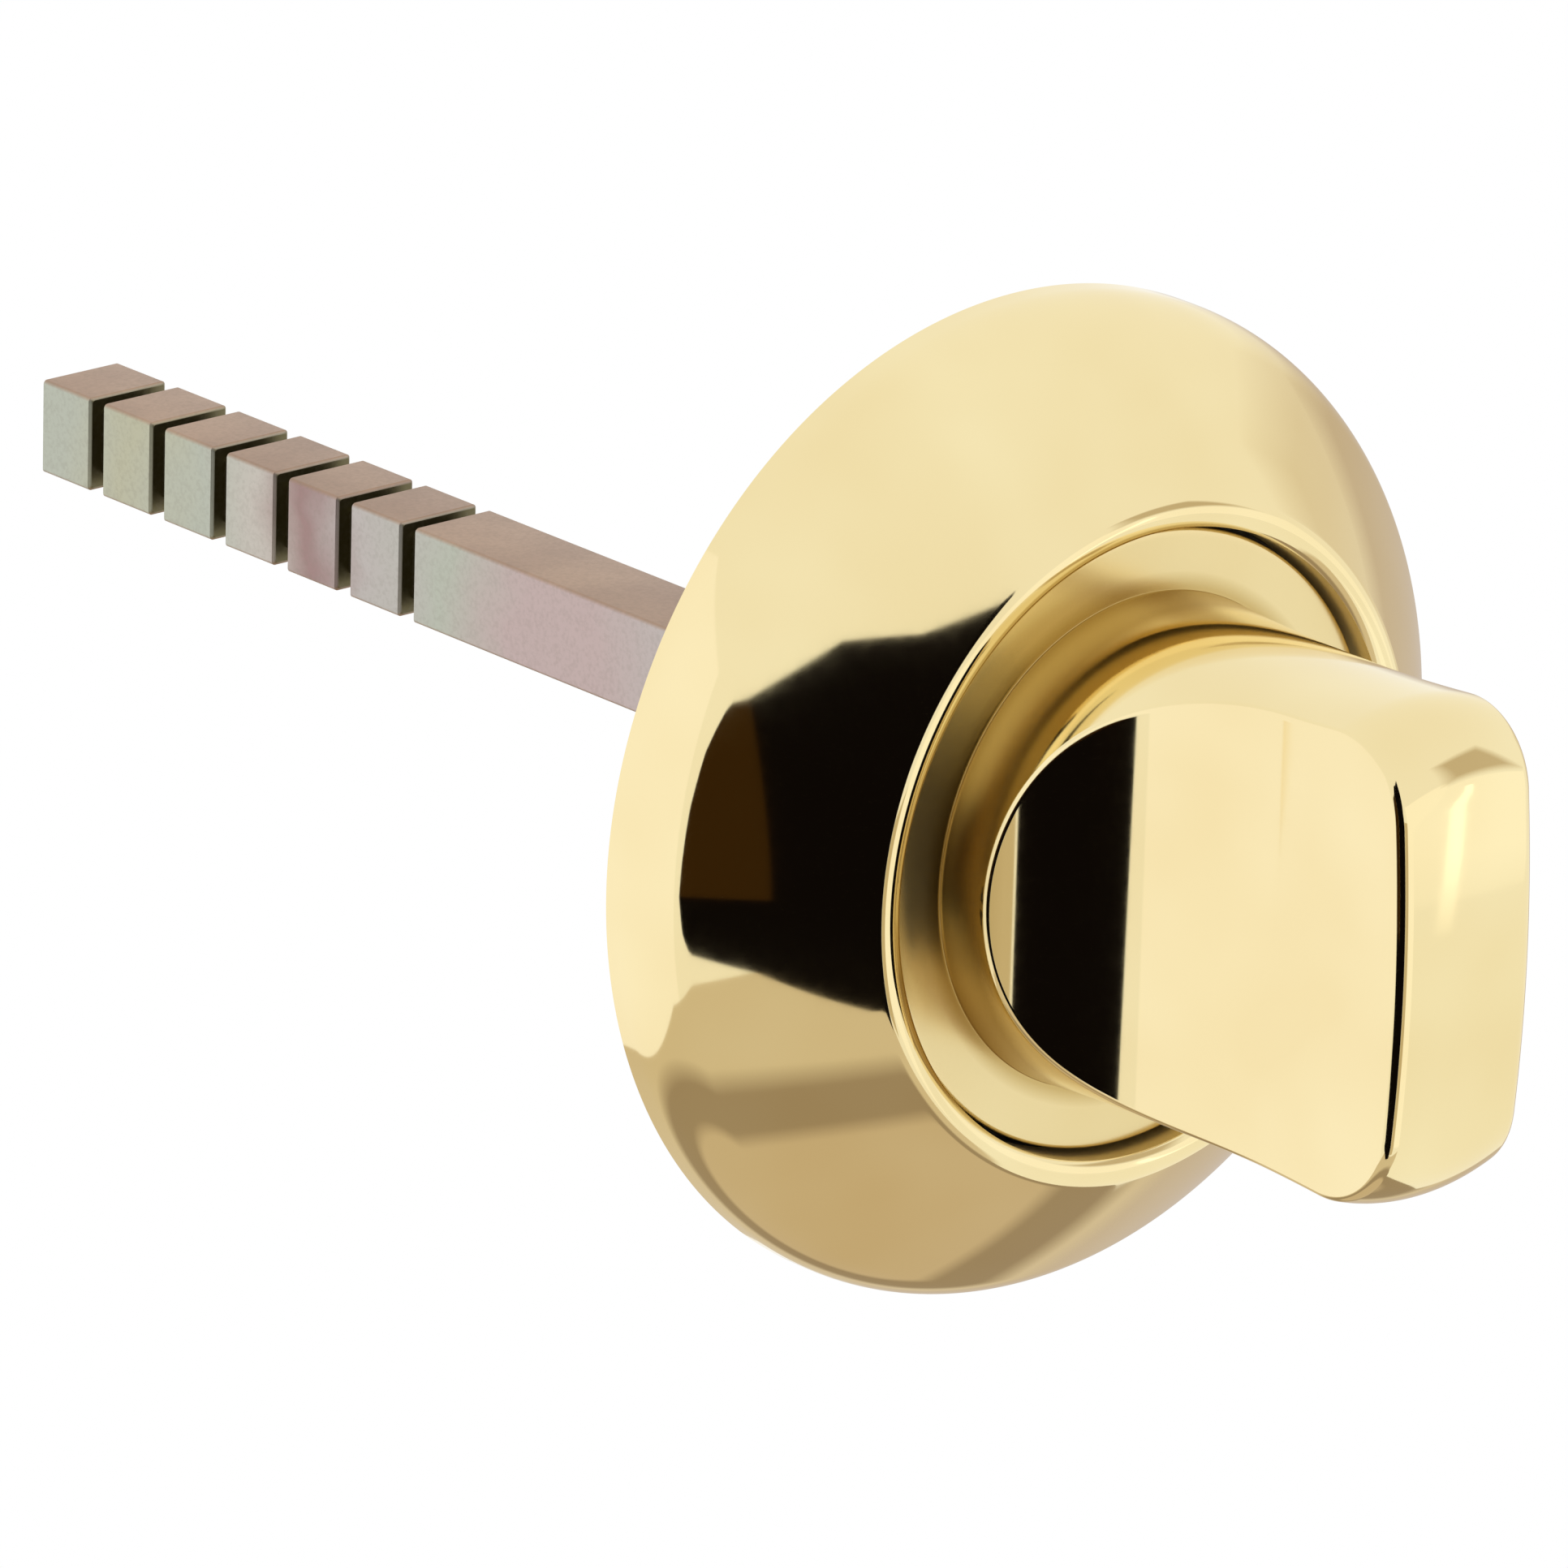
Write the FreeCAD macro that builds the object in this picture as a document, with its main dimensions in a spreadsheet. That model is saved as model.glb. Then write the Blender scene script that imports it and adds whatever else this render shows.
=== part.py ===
import FreeCAD, Part
import math
import os
import Sketcher

# Bathroom thumb turn lock: a domed rose, a milled thumb turn and a notched square spindle.
# Each body is drawn with its Z axis along the turning axis, measured outwards from the door face,
# and its Y axis upwards. OUTWARD then turns that Z axis to the part's -Y, so the spindle runs along +Y.

# Driving dimensions in millimetres, degrees or counts
SIZES = {
    # domed cover
    "rose_radius": 25.0,
    "cover_wall": 1.0,
    "rim_height": 1.8,
    "edge_round": 2.5,
    "dome_radius": 60.0,
    "lip_height": 10.6,
    "lip_round": 1.1,
    "hole_radius": 15.3,
    "collar_wall": 1.0,
    "collar_depth": 2.6,
    # bead on the base that snaps into a groove in the cover
    "snap_height": 1.0,
    "snap_half_width": 0.4,
    "snap_depth": 0.3,
    "snap_gap": 0.05,
    # thumb turn
    "flange_gap": 0.25,
    "flange_face": 9.4,
    "flange_thick": 2.0,
    "neck_radius": 12.35,
    "waist_radius": 12.0,
    "waist_arc": 120.0,
    "head_round": 4.2,
    "end_dome": 80.0,
    "turn_reach": 32.6,
    "wing_thick": 8.8,
    "wing_edge_round": 0.5,
    "mill_round": 12.5,
    "flat_start": 24.0,
    "hub_radius": 7.0,
    "hub_setback": 0.2,
    # base plate
    "plate_thick": 3.0,
    "plate_chamfer": 0.95,
    "boss_radius": 12.5,
    "recess_radius": 11.0,
    "recess_depth": 3.6,
    "screw_centres": 38.0,
    "screw_radius": 2.2,
    "countersink_radius": 4.2,
    "countersink_depth": 1.8,
    "core_inner": 13.0,
    "core_outer": 22.0,
    "core_depth": 1.8,
    "core_half_angle": 27.0,
    "core_count": 4,
    # bearing bush
    "running_fit": 0.05,
    "bush_wall": 1.2,
    "bush_flange_radius": 12.0,
    "bush_flange_thick": 0.9,
    "press_gap": 0.02,
    "axial_play": 0.05,
    # washers and retaining ring behind the plate
    "washer_fit": 0.1,
    "thrust_radius": 10.0,
    "thrust_thick": 0.6,
    "wave_radius": 8.8,
    "wave_stock": 0.3,
    "wave_height": 0.7,
    "ring_radius": 8.5,
    "ring_thick": 1.0,
    "ring_seat": 0.3,
    "ring_play": 0.05,
    "ring_gap": 4.0,
    "lug_radius": 1.5,
    "lug_reach": 8.6,
    "lug_hole": 0.65,
    # square spindle
    "spindle_side": 5.0,
    "spindle_reach": 71.5,
    "spindle_inset": 9.8,
    "socket_gap": 0.05,
    "socket_end_gap": 0.2,
    "notch_count": 6,
    "notch_width": 1.0,
    "notch_depth": 0.8,
    "notch_pitch": 5.0,
    "end_block": 4.0,
    # slotted spring pin through hub and spindle
    "pin_radius": 1.0,
    "pin_bore": 0.6,
    "pin_slit": 0.4,
    "pin_height": 5.4,
    "pin_setback": 0.2,
    "pin_gap": 0.02,
}

OUTWARD = FreeCAD.Placement(FreeCAD.Vector(0, 0, 0), FreeCAD.Rotation(FreeCAD.Vector(1, 0, 0), 90))
SKETCH_NORMAL = FreeCAD.Vector(0, 0, 1)
FULL_TURN = 360.0
CLOSE = 1e-4

# How far a cutting shape runs past what it cuts, as a multiple of that size
OVERRUN = 2

# Ends of a sketch piece and the sketch's own axes, by the numbers that constraints use
START, END, CENTRE = range(1, 4)
H_AXIS, V_AXIS = range(-1, -3, -1)

doc = FreeCAD.newDocument("thumb_turn_lock")
sheet = doc.addObject("Spreadsheet::Sheet", "sizes")
for row, (name, value) in enumerate(SIZES.items(), start=1):
    sheet.set(f"A{row}", name)
    sheet.set(f"B{row}", str(value))
    sheet.setAlias(f"B{row}", name)
doc.recompute()

# Sizes that follow from the driving ones, as expressions on the sheet
COVER_INNER = "(sizes.rose_radius - sizes.cover_wall)"
BASE_RADIUS = f"({COVER_INNER} - sizes.snap_gap)"
SNAP_LOW = "(sizes.snap_height - sizes.snap_half_width)"
SNAP_HIGH = "(sizes.snap_height + sizes.snap_half_width)"
COLLAR_END = "(sizes.lip_height - sizes.collar_depth)"
FLANGE_RADIUS = "(sizes.hole_radius - sizes.flange_gap)"
FLANGE_BACK = "(sizes.flange_face - sizes.flange_thick)"
BUSH_TOP = f"({FLANGE_BACK} - sizes.axial_play)"
BOSS_TOP = f"({BUSH_TOP} - sizes.bush_flange_thick)"
BUSH_BORE = "(sizes.hub_radius + sizes.running_fit)"
BUSH_RADIUS = f"({BUSH_BORE} + sizes.bush_wall)"
BASE_BORE = f"({BUSH_RADIUS} + sizes.press_gap)"
THRUST_TOP = "(sizes.recess_depth - sizes.axial_play)"
WAVE_TOP = f"({THRUST_TOP} - sizes.thrust_thick)"
RING_TOP = f"({WAVE_TOP} - sizes.wave_height)"
RING_BACK = f"({RING_TOP} - sizes.ring_thick)"
GROOVE_LOW = f"({RING_BACK} - sizes.ring_play)"
GROOVE_HIGH = f"({RING_TOP} + sizes.ring_play)"
GROOVE_RADIUS = "(sizes.hub_radius - sizes.ring_seat)"
WASHER_BORE = "(sizes.hub_radius + sizes.washer_fit)"
SOCKET_HALF = "(sizes.spindle_side / 2 + sizes.socket_gap)"
SOCKET_END = "(sizes.spindle_inset + sizes.socket_end_gap)"
PIN_HOLE = "(sizes.pin_radius + sizes.pin_gap)"


def number(expression):
    """The value of an expression on the sheet."""
    return float(sheet.evalExpression(expression))


def point(across, along):
    """A sketch point from two expressions."""
    return FreeCAD.Vector(number(across), number(along), 0)


# Sketch helpers


def new_body(label):
    """An empty body in its place on the turning axis."""
    body = doc.addObject("PartDesign::Body", label)
    body.Label = label
    body.Placement = OUTWARD
    return body


def origin_feature(body, role):
    """One of a body's own origin planes or axes."""
    return next(item for item in body.Origin.OriginFeatures if item.Role == role)


def new_sketch(body, name, role, height=None):
    """A sketch on an origin plane, raised to a height along its normal where one is given."""
    sketch = body.newObject("Sketcher::SketchObject", name)
    sketch.AttachmentSupport = [(origin_feature(body, role), "")]
    sketch.MapMode = "FlatFace"
    if height is not None:
        sketch.setExpression("AttachmentOffset.Base.z", height)
    return sketch


def bind(sketch, expression, *target):
    """Adds a dimension and ties it to an expression on the sheet."""
    index = sketch.addConstraint(Sketcher.Constraint(*target, number(expression)))
    sketch.setExpression(f"Constraints[{index}]", expression)


def relate(sketch, *target):
    """Adds a geometric constraint."""
    sketch.addConstraint(Sketcher.Constraint(*target))


def pin_point(sketch, piece, end, across, along):
    """Fixes one end of a sketch piece at two expressions, where None means on the axis."""
    if across is None:
        relate(sketch, "PointOnObject", piece, end, V_AXIS)
    else:
        bind(sketch, across, "DistanceX", piece, end)
    if along is None:
        relate(sketch, "PointOnObject", piece, end, H_AXIS)
    else:
        bind(sketch, along, "DistanceY", piece, end)


def line(start, end):
    """A straight piece of an outline, with its near and far ends."""
    return Part.LineSegment(start, end), START, END


def arc(centre, start, end):
    """The shorter arc from one point to another, with its near and far ends."""
    radius = (start - centre).Length
    start_angle = math.atan2(start.y - centre.y, start.x - centre.x)
    end_angle = math.atan2(end.y - centre.y, end.x - centre.x)
    circle = Part.Circle(centre, SKETCH_NORMAL, radius)
    if (end_angle - start_angle) % math.tau < math.pi:
        return Part.ArcOfCircle(circle, start_angle, end_angle), START, END
    return Part.ArcOfCircle(circle, end_angle, start_angle), END, START


def closed_outline(sketch, pieces, smooth=()):
    """Adds pieces end to end and closes them, with a tangent joint after each index in smooth."""
    added = []
    for geometry, near, far in pieces:
        added.append((sketch.addGeometry(geometry, False), near, far))
    for index, (piece, near, far) in enumerate(added):
        following, next_near = added[(index + 1) % len(added)][:2]
        joint = "Tangent" if index in smooth else "Coincident"
        relate(sketch, joint, piece, far, following, next_near)


def polygon(sketch, corners):
    """A closed outline of straight lines, with each corner fixed by its two expressions."""
    points = [point(across or "0", along or "0") for across, along in corners]
    following = points[1:] + points[:1]
    closed_outline(sketch, [line(start, end) for start, end in zip(points, following)])
    for index, (across, along) in enumerate(corners):
        pin_point(sketch, index, START, across, along)


def centred_square(sketch, half_side):
    """A square about the sketch's origin."""
    half = number(half_side)
    signs = ((1, 1), (-1, 1), (-1, -1), (1, -1))
    corners = [FreeCAD.Vector(across * half, along * half, 0) for across, along in signs]
    first = sketch.GeometryCount
    following = corners[1:] + corners[:1]
    for start, end in zip(corners, following):
        sketch.addGeometry(Part.LineSegment(start, end), False)
    for side in range(4):
        relate(sketch, "Coincident", first + side, END, first + (side + 1) % 4, START)
        relate(sketch, "Vertical" if side % 2 else "Horizontal", first + side)
    relate(sketch, "Symmetric", first, START, first + 2, START, H_AXIS, START)
    pin_point(sketch, first, START, half_side, half_side)


def circle_at(sketch, radius, across=None, along=None):
    """A circle with its centre at two expressions, where None means on the axis."""
    centre = point(across or "0", along or "0")
    piece = sketch.addGeometry(Part.Circle(centre, SKETCH_NORMAL, number(radius)), False)
    bind(sketch, radius, "Radius", piece)
    if across is None and along is None:
        relate(sketch, "Coincident", piece, CENTRE, H_AXIS, START)
    else:
        pin_point(sketch, piece, CENTRE, across, along)
    return piece


def circle_pair(sketch, radius, across, along=None):
    """Two equal circles, one each side of the sketch's vertical axis."""
    right = circle_at(sketch, radius, across, along)
    left_centre = FreeCAD.Vector(-number(across), number(along or "0"), 0)
    left_circle = Part.Circle(left_centre, SKETCH_NORMAL, number(radius))
    left = sketch.addGeometry(left_circle, False)
    relate(sketch, "Equal", right, left)
    relate(sketch, "Symmetric", right, CENTRE, left, CENTRE, V_AXIS)


def circle_crossings(first, first_radius, second, second_radius):
    """The two points where circles about two centres cross, the lower one first."""
    apart = second - first
    along = (apart.Length**2 + first_radius**2 - second_radius**2) / (2 * apart.Length)
    across = math.sqrt(first_radius**2 - along**2)
    forward = apart / apart.Length
    sideways = FreeCAD.Vector(-forward.y, forward.x, 0)
    middle = first + forward * along
    return sorted((middle + sideways * across, middle - sideways * across), key=lambda spot: spot.y)


# Feature helpers


def revolve(body, sketch, name):
    """Turns a profile about the body's Z axis."""
    feature = body.newObject("PartDesign::Revolution", name)
    feature.Profile = sketch
    feature.ReferenceAxis = (sketch, ["V_Axis"])
    feature.Angle = FULL_TURN
    doc.recompute()
    return feature


def pad(body, sketch, name, length, midplane=False):
    """Adds material along the sketch's normal."""
    feature = body.newObject("PartDesign::Pad", name)
    feature.Profile = sketch
    feature.Midplane = midplane
    feature.setExpression("Length", length)
    doc.recompute()
    return feature


def pocket(body, sketch, name, length, midplane=False):
    """Cuts along the sketch's normal, or both ways from it, and makes sure that something came off."""
    before = body.Shape.Volume
    feature = body.newObject("PartDesign::Pocket", name)
    feature.Profile = sketch
    feature.Midplane = midplane
    feature.Reversed = not midplane
    feature.setExpression("Length", length)
    doc.recompute()
    if body.Shape.Volume >= before:
        raise ValueError(f"{name} cuts nothing")
    return feature


# Sub-parts


def make_cover():
    """The domed cover: a skirt, a rounded edge, a convex dome and a lip rolled in round the hole."""
    body = new_body("rose_cover")
    sketch = new_sketch(body, "cover_profile", "XZ_Plane")
    edge_centre = point("sizes.rose_radius - sizes.edge_round", "sizes.rim_height")
    lip_centre = point("sizes.hole_radius + sizes.lip_round", "sizes.lip_height - sizes.lip_round")
    dome = number("sizes.dome_radius")
    edge = number("sizes.edge_round")
    lip = number("sizes.lip_round")
    wall = number("sizes.cover_wall")
    dome_centre = circle_crossings(edge_centre, dome - edge, lip_centre, dome - lip)[0]
    to_edge = (edge_centre - dome_centre).normalize()
    to_lip = (lip_centre - dome_centre).normalize()
    foot = point("sizes.rose_radius", "0")
    rim = point("sizes.rose_radius", "sizes.rim_height")
    edge_end = dome_centre + to_edge * dome
    lip_start = dome_centre + to_lip * dome
    lip_end = point("sizes.hole_radius", "sizes.lip_height - sizes.lip_round")
    collar = point("sizes.hole_radius", COLLAR_END)
    collar_back = point("sizes.hole_radius + sizes.collar_wall", COLLAR_END)
    inside = dome - wall
    inner_rise = math.sqrt(inside**2 - (collar_back.x - dome_centre.x) ** 2)
    inner_lip = FreeCAD.Vector(collar_back.x, dome_centre.y + inner_rise, 0)
    inner_edge = dome_centre + to_edge * inside
    inner_rim = point(COVER_INNER, "sizes.rim_height")
    snap_top = point(COVER_INNER, SNAP_HIGH)
    snap_mid = point(f"{COVER_INNER} + sizes.snap_depth", "sizes.snap_height")
    snap_foot = point(COVER_INNER, SNAP_LOW)
    inner_foot = point(COVER_INNER, "0")
    pieces = [
        line(foot, rim),
        arc(edge_centre, rim, edge_end),
        arc(dome_centre, edge_end, lip_start),
        arc(lip_centre, lip_start, lip_end),
        line(lip_end, collar),
        line(collar, collar_back),
        line(collar_back, inner_lip),
        arc(dome_centre, inner_lip, inner_edge),
        arc(edge_centre, inner_edge, inner_rim),
        line(inner_rim, snap_top),
        line(snap_top, snap_mid),
        line(snap_mid, snap_foot),
        line(snap_foot, inner_foot),
        line(inner_foot, foot),
    ]
    closed_outline(sketch, pieces, smooth=(0, 1, 2, 3, 7, 8))
    skirt, edge_arc, dome_arc, lip_arc, hole, collar_edge, collar_rise = range(7)
    inner_dome, inner_round, inner_skirt, snap_upper, snap_lower, inner_wall = range(7, 13)
    pin_point(sketch, skirt, START, "sizes.rose_radius", None)
    relate(sketch, "Vertical", skirt)
    bind(sketch, "sizes.rim_height", "DistanceY", skirt, END)
    bind(sketch, "sizes.edge_round", "Radius", edge_arc)
    bind(sketch, "sizes.dome_radius", "Radius", dome_arc)
    bind(sketch, "sizes.lip_round", "Radius", lip_arc)
    bind(sketch, "sizes.lip_height - sizes.lip_round", "DistanceY", lip_arc, CENTRE)
    relate(sketch, "Vertical", hole)
    pin_point(sketch, hole, END, "sizes.hole_radius", COLLAR_END)
    relate(sketch, "Horizontal", collar_edge)
    bind(sketch, "sizes.hole_radius + sizes.collar_wall", "DistanceX", collar_edge, END)
    relate(sketch, "Vertical", collar_rise)
    relate(sketch, "Coincident", inner_dome, CENTRE, dome_arc, CENTRE)
    bind(sketch, "sizes.dome_radius - sizes.cover_wall", "Radius", inner_dome)
    relate(sketch, "Coincident", inner_round, CENTRE, edge_arc, CENTRE)
    relate(sketch, "Vertical", inner_skirt)
    bind(sketch, SNAP_HIGH, "DistanceY", inner_skirt, END)
    pin_point(sketch, snap_upper, END, f"{COVER_INNER} + sizes.snap_depth", "sizes.snap_height")
    pin_point(sketch, snap_lower, END, COVER_INNER, SNAP_LOW)
    relate(sketch, "Vertical", inner_wall)
    relate(sketch, "PointOnObject", inner_wall, END, H_AXIS)
    revolve(body, sketch, "cover_shell")
    return body


def make_base():
    """The fixing plate: a disc with a bearing boss, cored out behind, with two countersunk holes."""
    body = new_body("rose_base")
    profile = new_sketch(body, "base_profile", "XZ_Plane")
    bead = f"{BASE_RADIUS} + sizes.snap_depth"
    corners = [
        (BASE_BORE, "sizes.recess_depth"),
        ("sizes.recess_radius", "sizes.recess_depth"),
        ("sizes.recess_radius", None),
        (BASE_RADIUS, None),
        (BASE_RADIUS, SNAP_LOW),
        (bead, "sizes.snap_height"),
        (BASE_RADIUS, SNAP_HIGH),
        (BASE_RADIUS, "sizes.plate_thick - sizes.plate_chamfer"),
        (f"{BASE_RADIUS} - sizes.plate_chamfer", "sizes.plate_thick"),
        ("sizes.boss_radius", "sizes.plate_thick"),
        ("sizes.boss_radius", BOSS_TOP),
        (BASE_BORE, BOSS_TOP),
    ]
    polygon(profile, corners)
    revolve(body, profile, "base_disc")

    core = new_sketch(body, "core_outline", "XY_Plane")
    half = math.radians(number("sizes.core_half_angle"))
    inner = number("sizes.core_inner")
    outer = number("sizes.core_outer")
    centre = FreeCAD.Vector(0, 0, 0)
    upper = FreeCAD.Vector(math.cos(half), math.sin(half), 0)
    lower = FreeCAD.Vector(math.cos(half), -math.sin(half), 0)
    pieces = [
        arc(centre, lower * outer, upper * outer),
        line(upper * outer, upper * inner),
        arc(centre, upper * inner, lower * inner),
        line(lower * inner, lower * outer),
    ]
    closed_outline(core, pieces)
    outer_arc, upper_side, inner_arc, lower_side = range(4)
    for piece, radius in ((outer_arc, "sizes.core_outer"), (inner_arc, "sizes.core_inner")):
        relate(core, "Coincident", piece, CENTRE, H_AXIS, START)
        bind(core, radius, "Radius", piece)
    relate(core, "Vertical", upper_side, START, lower_side, END)
    relate(core, "PointOnObject", H_AXIS, START, upper_side)
    relate(core, "PointOnObject", H_AXIS, START, lower_side)
    half_width = "sizes.core_outer * sin(sizes.core_half_angle * 1 deg)"
    bind(core, half_width, "DistanceY", upper_side, START)
    core.setExpression("AttachmentOffset.Rotation.Angle", "180 deg / sizes.core_count")
    coring = pocket(body, core, "core_pocket", "sizes.core_depth")

    ring = body.newObject("PartDesign::PolarPattern", "core_ring")
    ring.Originals = [coring]
    ring.Axis = (origin_feature(body, "Z_Axis"), [""])
    ring.Angle = FULL_TURN
    ring.setExpression("Occurrences", "sizes.core_count")
    body.Tip = ring
    doc.recompute()

    holes = new_sketch(body, "screw_holes", "XY_Plane")
    circle_pair(holes, "sizes.screw_radius", "sizes.screw_centres / 2")
    pocket(body, holes, "screw_hole_cut", "sizes.plate_thick")

    seats = new_sketch(body, "countersinks", "XZ_Plane")
    hole_axis = "sizes.screw_centres / 2"
    sink = "sizes.plate_thick - sizes.countersink_depth"
    sink_corners = [
        (hole_axis, sink),
        (f"{hole_axis} + sizes.screw_radius", sink),
        (f"{hole_axis} + sizes.countersink_radius", "sizes.plate_thick"),
        (hole_axis, "sizes.plate_thick"),
    ]
    polygon(seats, sink_corners)
    before = body.Shape.Volume
    cone = body.newObject("PartDesign::Groove", "countersink")
    cone.Profile = seats
    cone.ReferenceAxis = (seats, ["Edge4"])
    cone.Angle = FULL_TURN
    doc.recompute()
    if body.Shape.Volume >= before:
        raise ValueError("the countersink cuts nothing")
    other = body.newObject("PartDesign::Mirrored", "countersink_pair")
    other.Originals = [cone]
    other.MirrorPlane = (origin_feature(body, "YZ_Plane"), [""])
    body.Tip = other
    return body


def make_bush():
    """The flanged bearing bush in the base's boss, which the hub turns in."""
    body = new_body("turn_bush")
    profile = new_sketch(body, "bush_profile", "XZ_Plane")
    corners = [
        (BUSH_BORE, "sizes.recess_depth"),
        (BUSH_RADIUS, "sizes.recess_depth"),
        (BUSH_RADIUS, BOSS_TOP),
        ("sizes.bush_flange_radius", BOSS_TOP),
        ("sizes.bush_flange_radius", BUSH_TOP),
        (BUSH_BORE, BUSH_TOP),
    ]
    polygon(profile, corners)
    revolve(body, profile, "bush_body")
    return body


def turn_profile(body):
    """Half the turned outline: hub, ring groove, flange, waisted neck, rounded head and domed end."""
    sketch = new_sketch(body, "turn_profile", "XZ_Plane")
    corners = [
        (None, "sizes.hub_setback"),
        ("sizes.hub_radius", "sizes.hub_setback"),
        ("sizes.hub_radius", GROOVE_LOW),
        (GROOVE_RADIUS, GROOVE_LOW),
        (GROOVE_RADIUS, GROOVE_HIGH),
        ("sizes.hub_radius", GROOVE_HIGH),
        ("sizes.hub_radius", FLANGE_BACK),
        (FLANGE_RADIUS, FLANGE_BACK),
        (FLANGE_RADIUS, "sizes.flange_face"),
        ("sizes.neck_radius", "sizes.flange_face"),
    ]
    points = [point(across or "0", along) for across, along in corners]
    waist = number("sizes.waist_arc")
    head = number("sizes.head_round")
    end = number("sizes.end_dome")
    neck = points[-1]
    waist_across = number("sizes.waist_radius") + waist
    waist_rise = math.sqrt(waist**2 - (waist_across - neck.x) ** 2)
    waist_centre = FreeCAD.Vector(waist_across, neck.y + waist_rise, 0)
    end_centre = point("0", "sizes.turn_reach - sizes.end_dome")
    tip = point("0", "sizes.turn_reach")
    head_centre = circle_crossings(waist_centre, waist + head, end_centre, end - head)[1]
    waist_end = head_centre + (waist_centre - head_centre).normalize() * head
    head_end = end_centre + (head_centre - end_centre).normalize() * end
    pieces = [line(start, finish) for start, finish in zip(points, points[1:])]
    waist_arc = len(pieces)
    head_arc = waist_arc + 1
    end_arc = waist_arc + 2
    pieces += [
        arc(waist_centre, neck, waist_end),
        arc(head_centre, waist_end, head_end),
        arc(end_centre, head_end, tip),
        line(tip, points[0]),
    ]
    closed_outline(sketch, pieces, smooth=(waist_arc, head_arc))
    for index, (across, along) in enumerate(corners[:-1]):
        pin_point(sketch, index, START, across, along)
    pin_point(sketch, waist_arc - 1, END, *corners[-1])
    bind(sketch, "sizes.waist_arc", "Radius", waist_arc)
    bind(sketch, "sizes.waist_radius + sizes.waist_arc", "DistanceX", waist_arc, CENTRE)
    bind(sketch, "sizes.head_round", "Radius", head_arc)
    bind(sketch, "sizes.end_dome", "Radius", end_arc)
    relate(sketch, "PointOnObject", end_arc, CENTRE, V_AXIS)
    pin_point(sketch, end_arc + 1, START, None, "sizes.turn_reach")
    return sketch


def wing_edges(shape):
    """The names of the edges where the two flat sides of the wing meet the turned surface."""
    flat = number("sizes.wing_thick / 2")
    start = number("sizes.flat_start")
    names = []
    for index, edge in enumerate(shape.Edges, start=1):
        box = edge.BoundBox
        on_side = box.XLength < CLOSE and abs(abs(box.XMin) - flat) < CLOSE
        if on_side and box.ZMax > start + CLOSE:
            names.append(f"Edge{index}")
    return names


def make_turn():
    """The thumb turn: turned all round, then milled on both sides to leave the upright wing."""
    body = new_body("thumb_turn")
    revolve(body, turn_profile(body), "turned_blank")

    cutter = new_sketch(body, "mill_profile", "XZ_Plane")
    flat = "sizes.wing_thick / 2"
    reach = FLANGE_RADIUS
    top = "(sizes.turn_reach + sizes.flange_thick)"
    short_of_centre = f"({flat} + sizes.mill_round - {reach})"
    run_out_end = f"sizes.flat_start - sqrt(sizes.mill_round ^ 2 - {short_of_centre} ^ 2)"
    centre = point(f"{flat} + sizes.mill_round", "sizes.flat_start")
    arc_end = point(reach, run_out_end)
    outer_top = point(reach, top)
    flat_top = point(flat, top)
    flat_foot = point(flat, "sizes.flat_start")
    pieces = [
        arc(centre, flat_foot, arc_end),
        line(arc_end, outer_top),
        line(outer_top, flat_top),
        line(flat_top, flat_foot),
    ]
    closed_outline(cutter, pieces, smooth=(3,))
    run_out, outside, over, side = range(4)
    bind(cutter, "sizes.mill_round", "Radius", run_out)
    bind(cutter, "sizes.flat_start", "DistanceY", run_out, CENTRE)
    bind(cutter, reach, "DistanceX", outside, END)
    relate(cutter, "Vertical", outside)
    relate(cutter, "Horizontal", over)
    pin_point(cutter, over, END, flat, top)
    relate(cutter, "Vertical", side)
    milling = pocket(body, cutter, "mill_cut", f"2 * {reach}", midplane=True)
    other_side = body.newObject("PartDesign::Mirrored", "mill_cut_pair")
    other_side.Originals = [milling]
    other_side.MirrorPlane = (origin_feature(body, "YZ_Plane"), [""])
    body.Tip = other_side
    doc.recompute()

    soft_edges = body.newObject("PartDesign::Fillet", "wing_edges")
    soft_edges.Base = (other_side, wing_edges(other_side.Shape))
    soft_edges.setExpression("Radius", "sizes.wing_edge_round")
    doc.recompute()

    socket = new_sketch(body, "spindle_socket", "XY_Plane")
    centred_square(socket, SOCKET_HALF)
    pocket(body, socket, "socket_cut", SOCKET_END)

    cross = new_sketch(body, "pin_hole", "YZ_Plane")
    circle_at(cross, PIN_HOLE, None, "sizes.pin_height")
    pocket(body, cross, "pin_hole_cut", "2 * sizes.hub_radius", midplane=True)
    return body


def make_spindle():
    """The square spindle, with break-off notches cut in all four sides from its far end."""
    body = new_body("spindle")
    section = new_sketch(body, "spindle_section", "XY_Plane", "-sizes.spindle_reach")
    centred_square(section, "sizes.spindle_side / 2")
    pad(body, section, "spindle_bar", "sizes.spindle_reach + sizes.spindle_inset")

    notch = new_sketch(body, "notch_outline", "XY_Plane", "-sizes.spindle_reach + sizes.end_block")
    centred_square(notch, "sizes.spindle_side")
    centred_square(notch, "sizes.spindle_side / 2 - sizes.notch_depth")
    cut = pocket(body, notch, "notch_cut", "sizes.notch_width")
    row = body.newObject("PartDesign::LinearPattern", "notch_row")
    row.Originals = [cut]
    row.Direction = (origin_feature(body, "Z_Axis"), [""])
    row.setExpression("Length", "(sizes.notch_count - 1) * sizes.notch_pitch")
    row.setExpression("Occurrences", "sizes.notch_count")
    body.Tip = row
    doc.recompute()

    cross = new_sketch(body, "spindle_pin_hole", "YZ_Plane")
    circle_at(cross, PIN_HOLE, None, "sizes.pin_height")
    pocket(body, cross, "spindle_pin_cut", f"{OVERRUN} * sizes.spindle_side", midplane=True)
    return body


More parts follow.
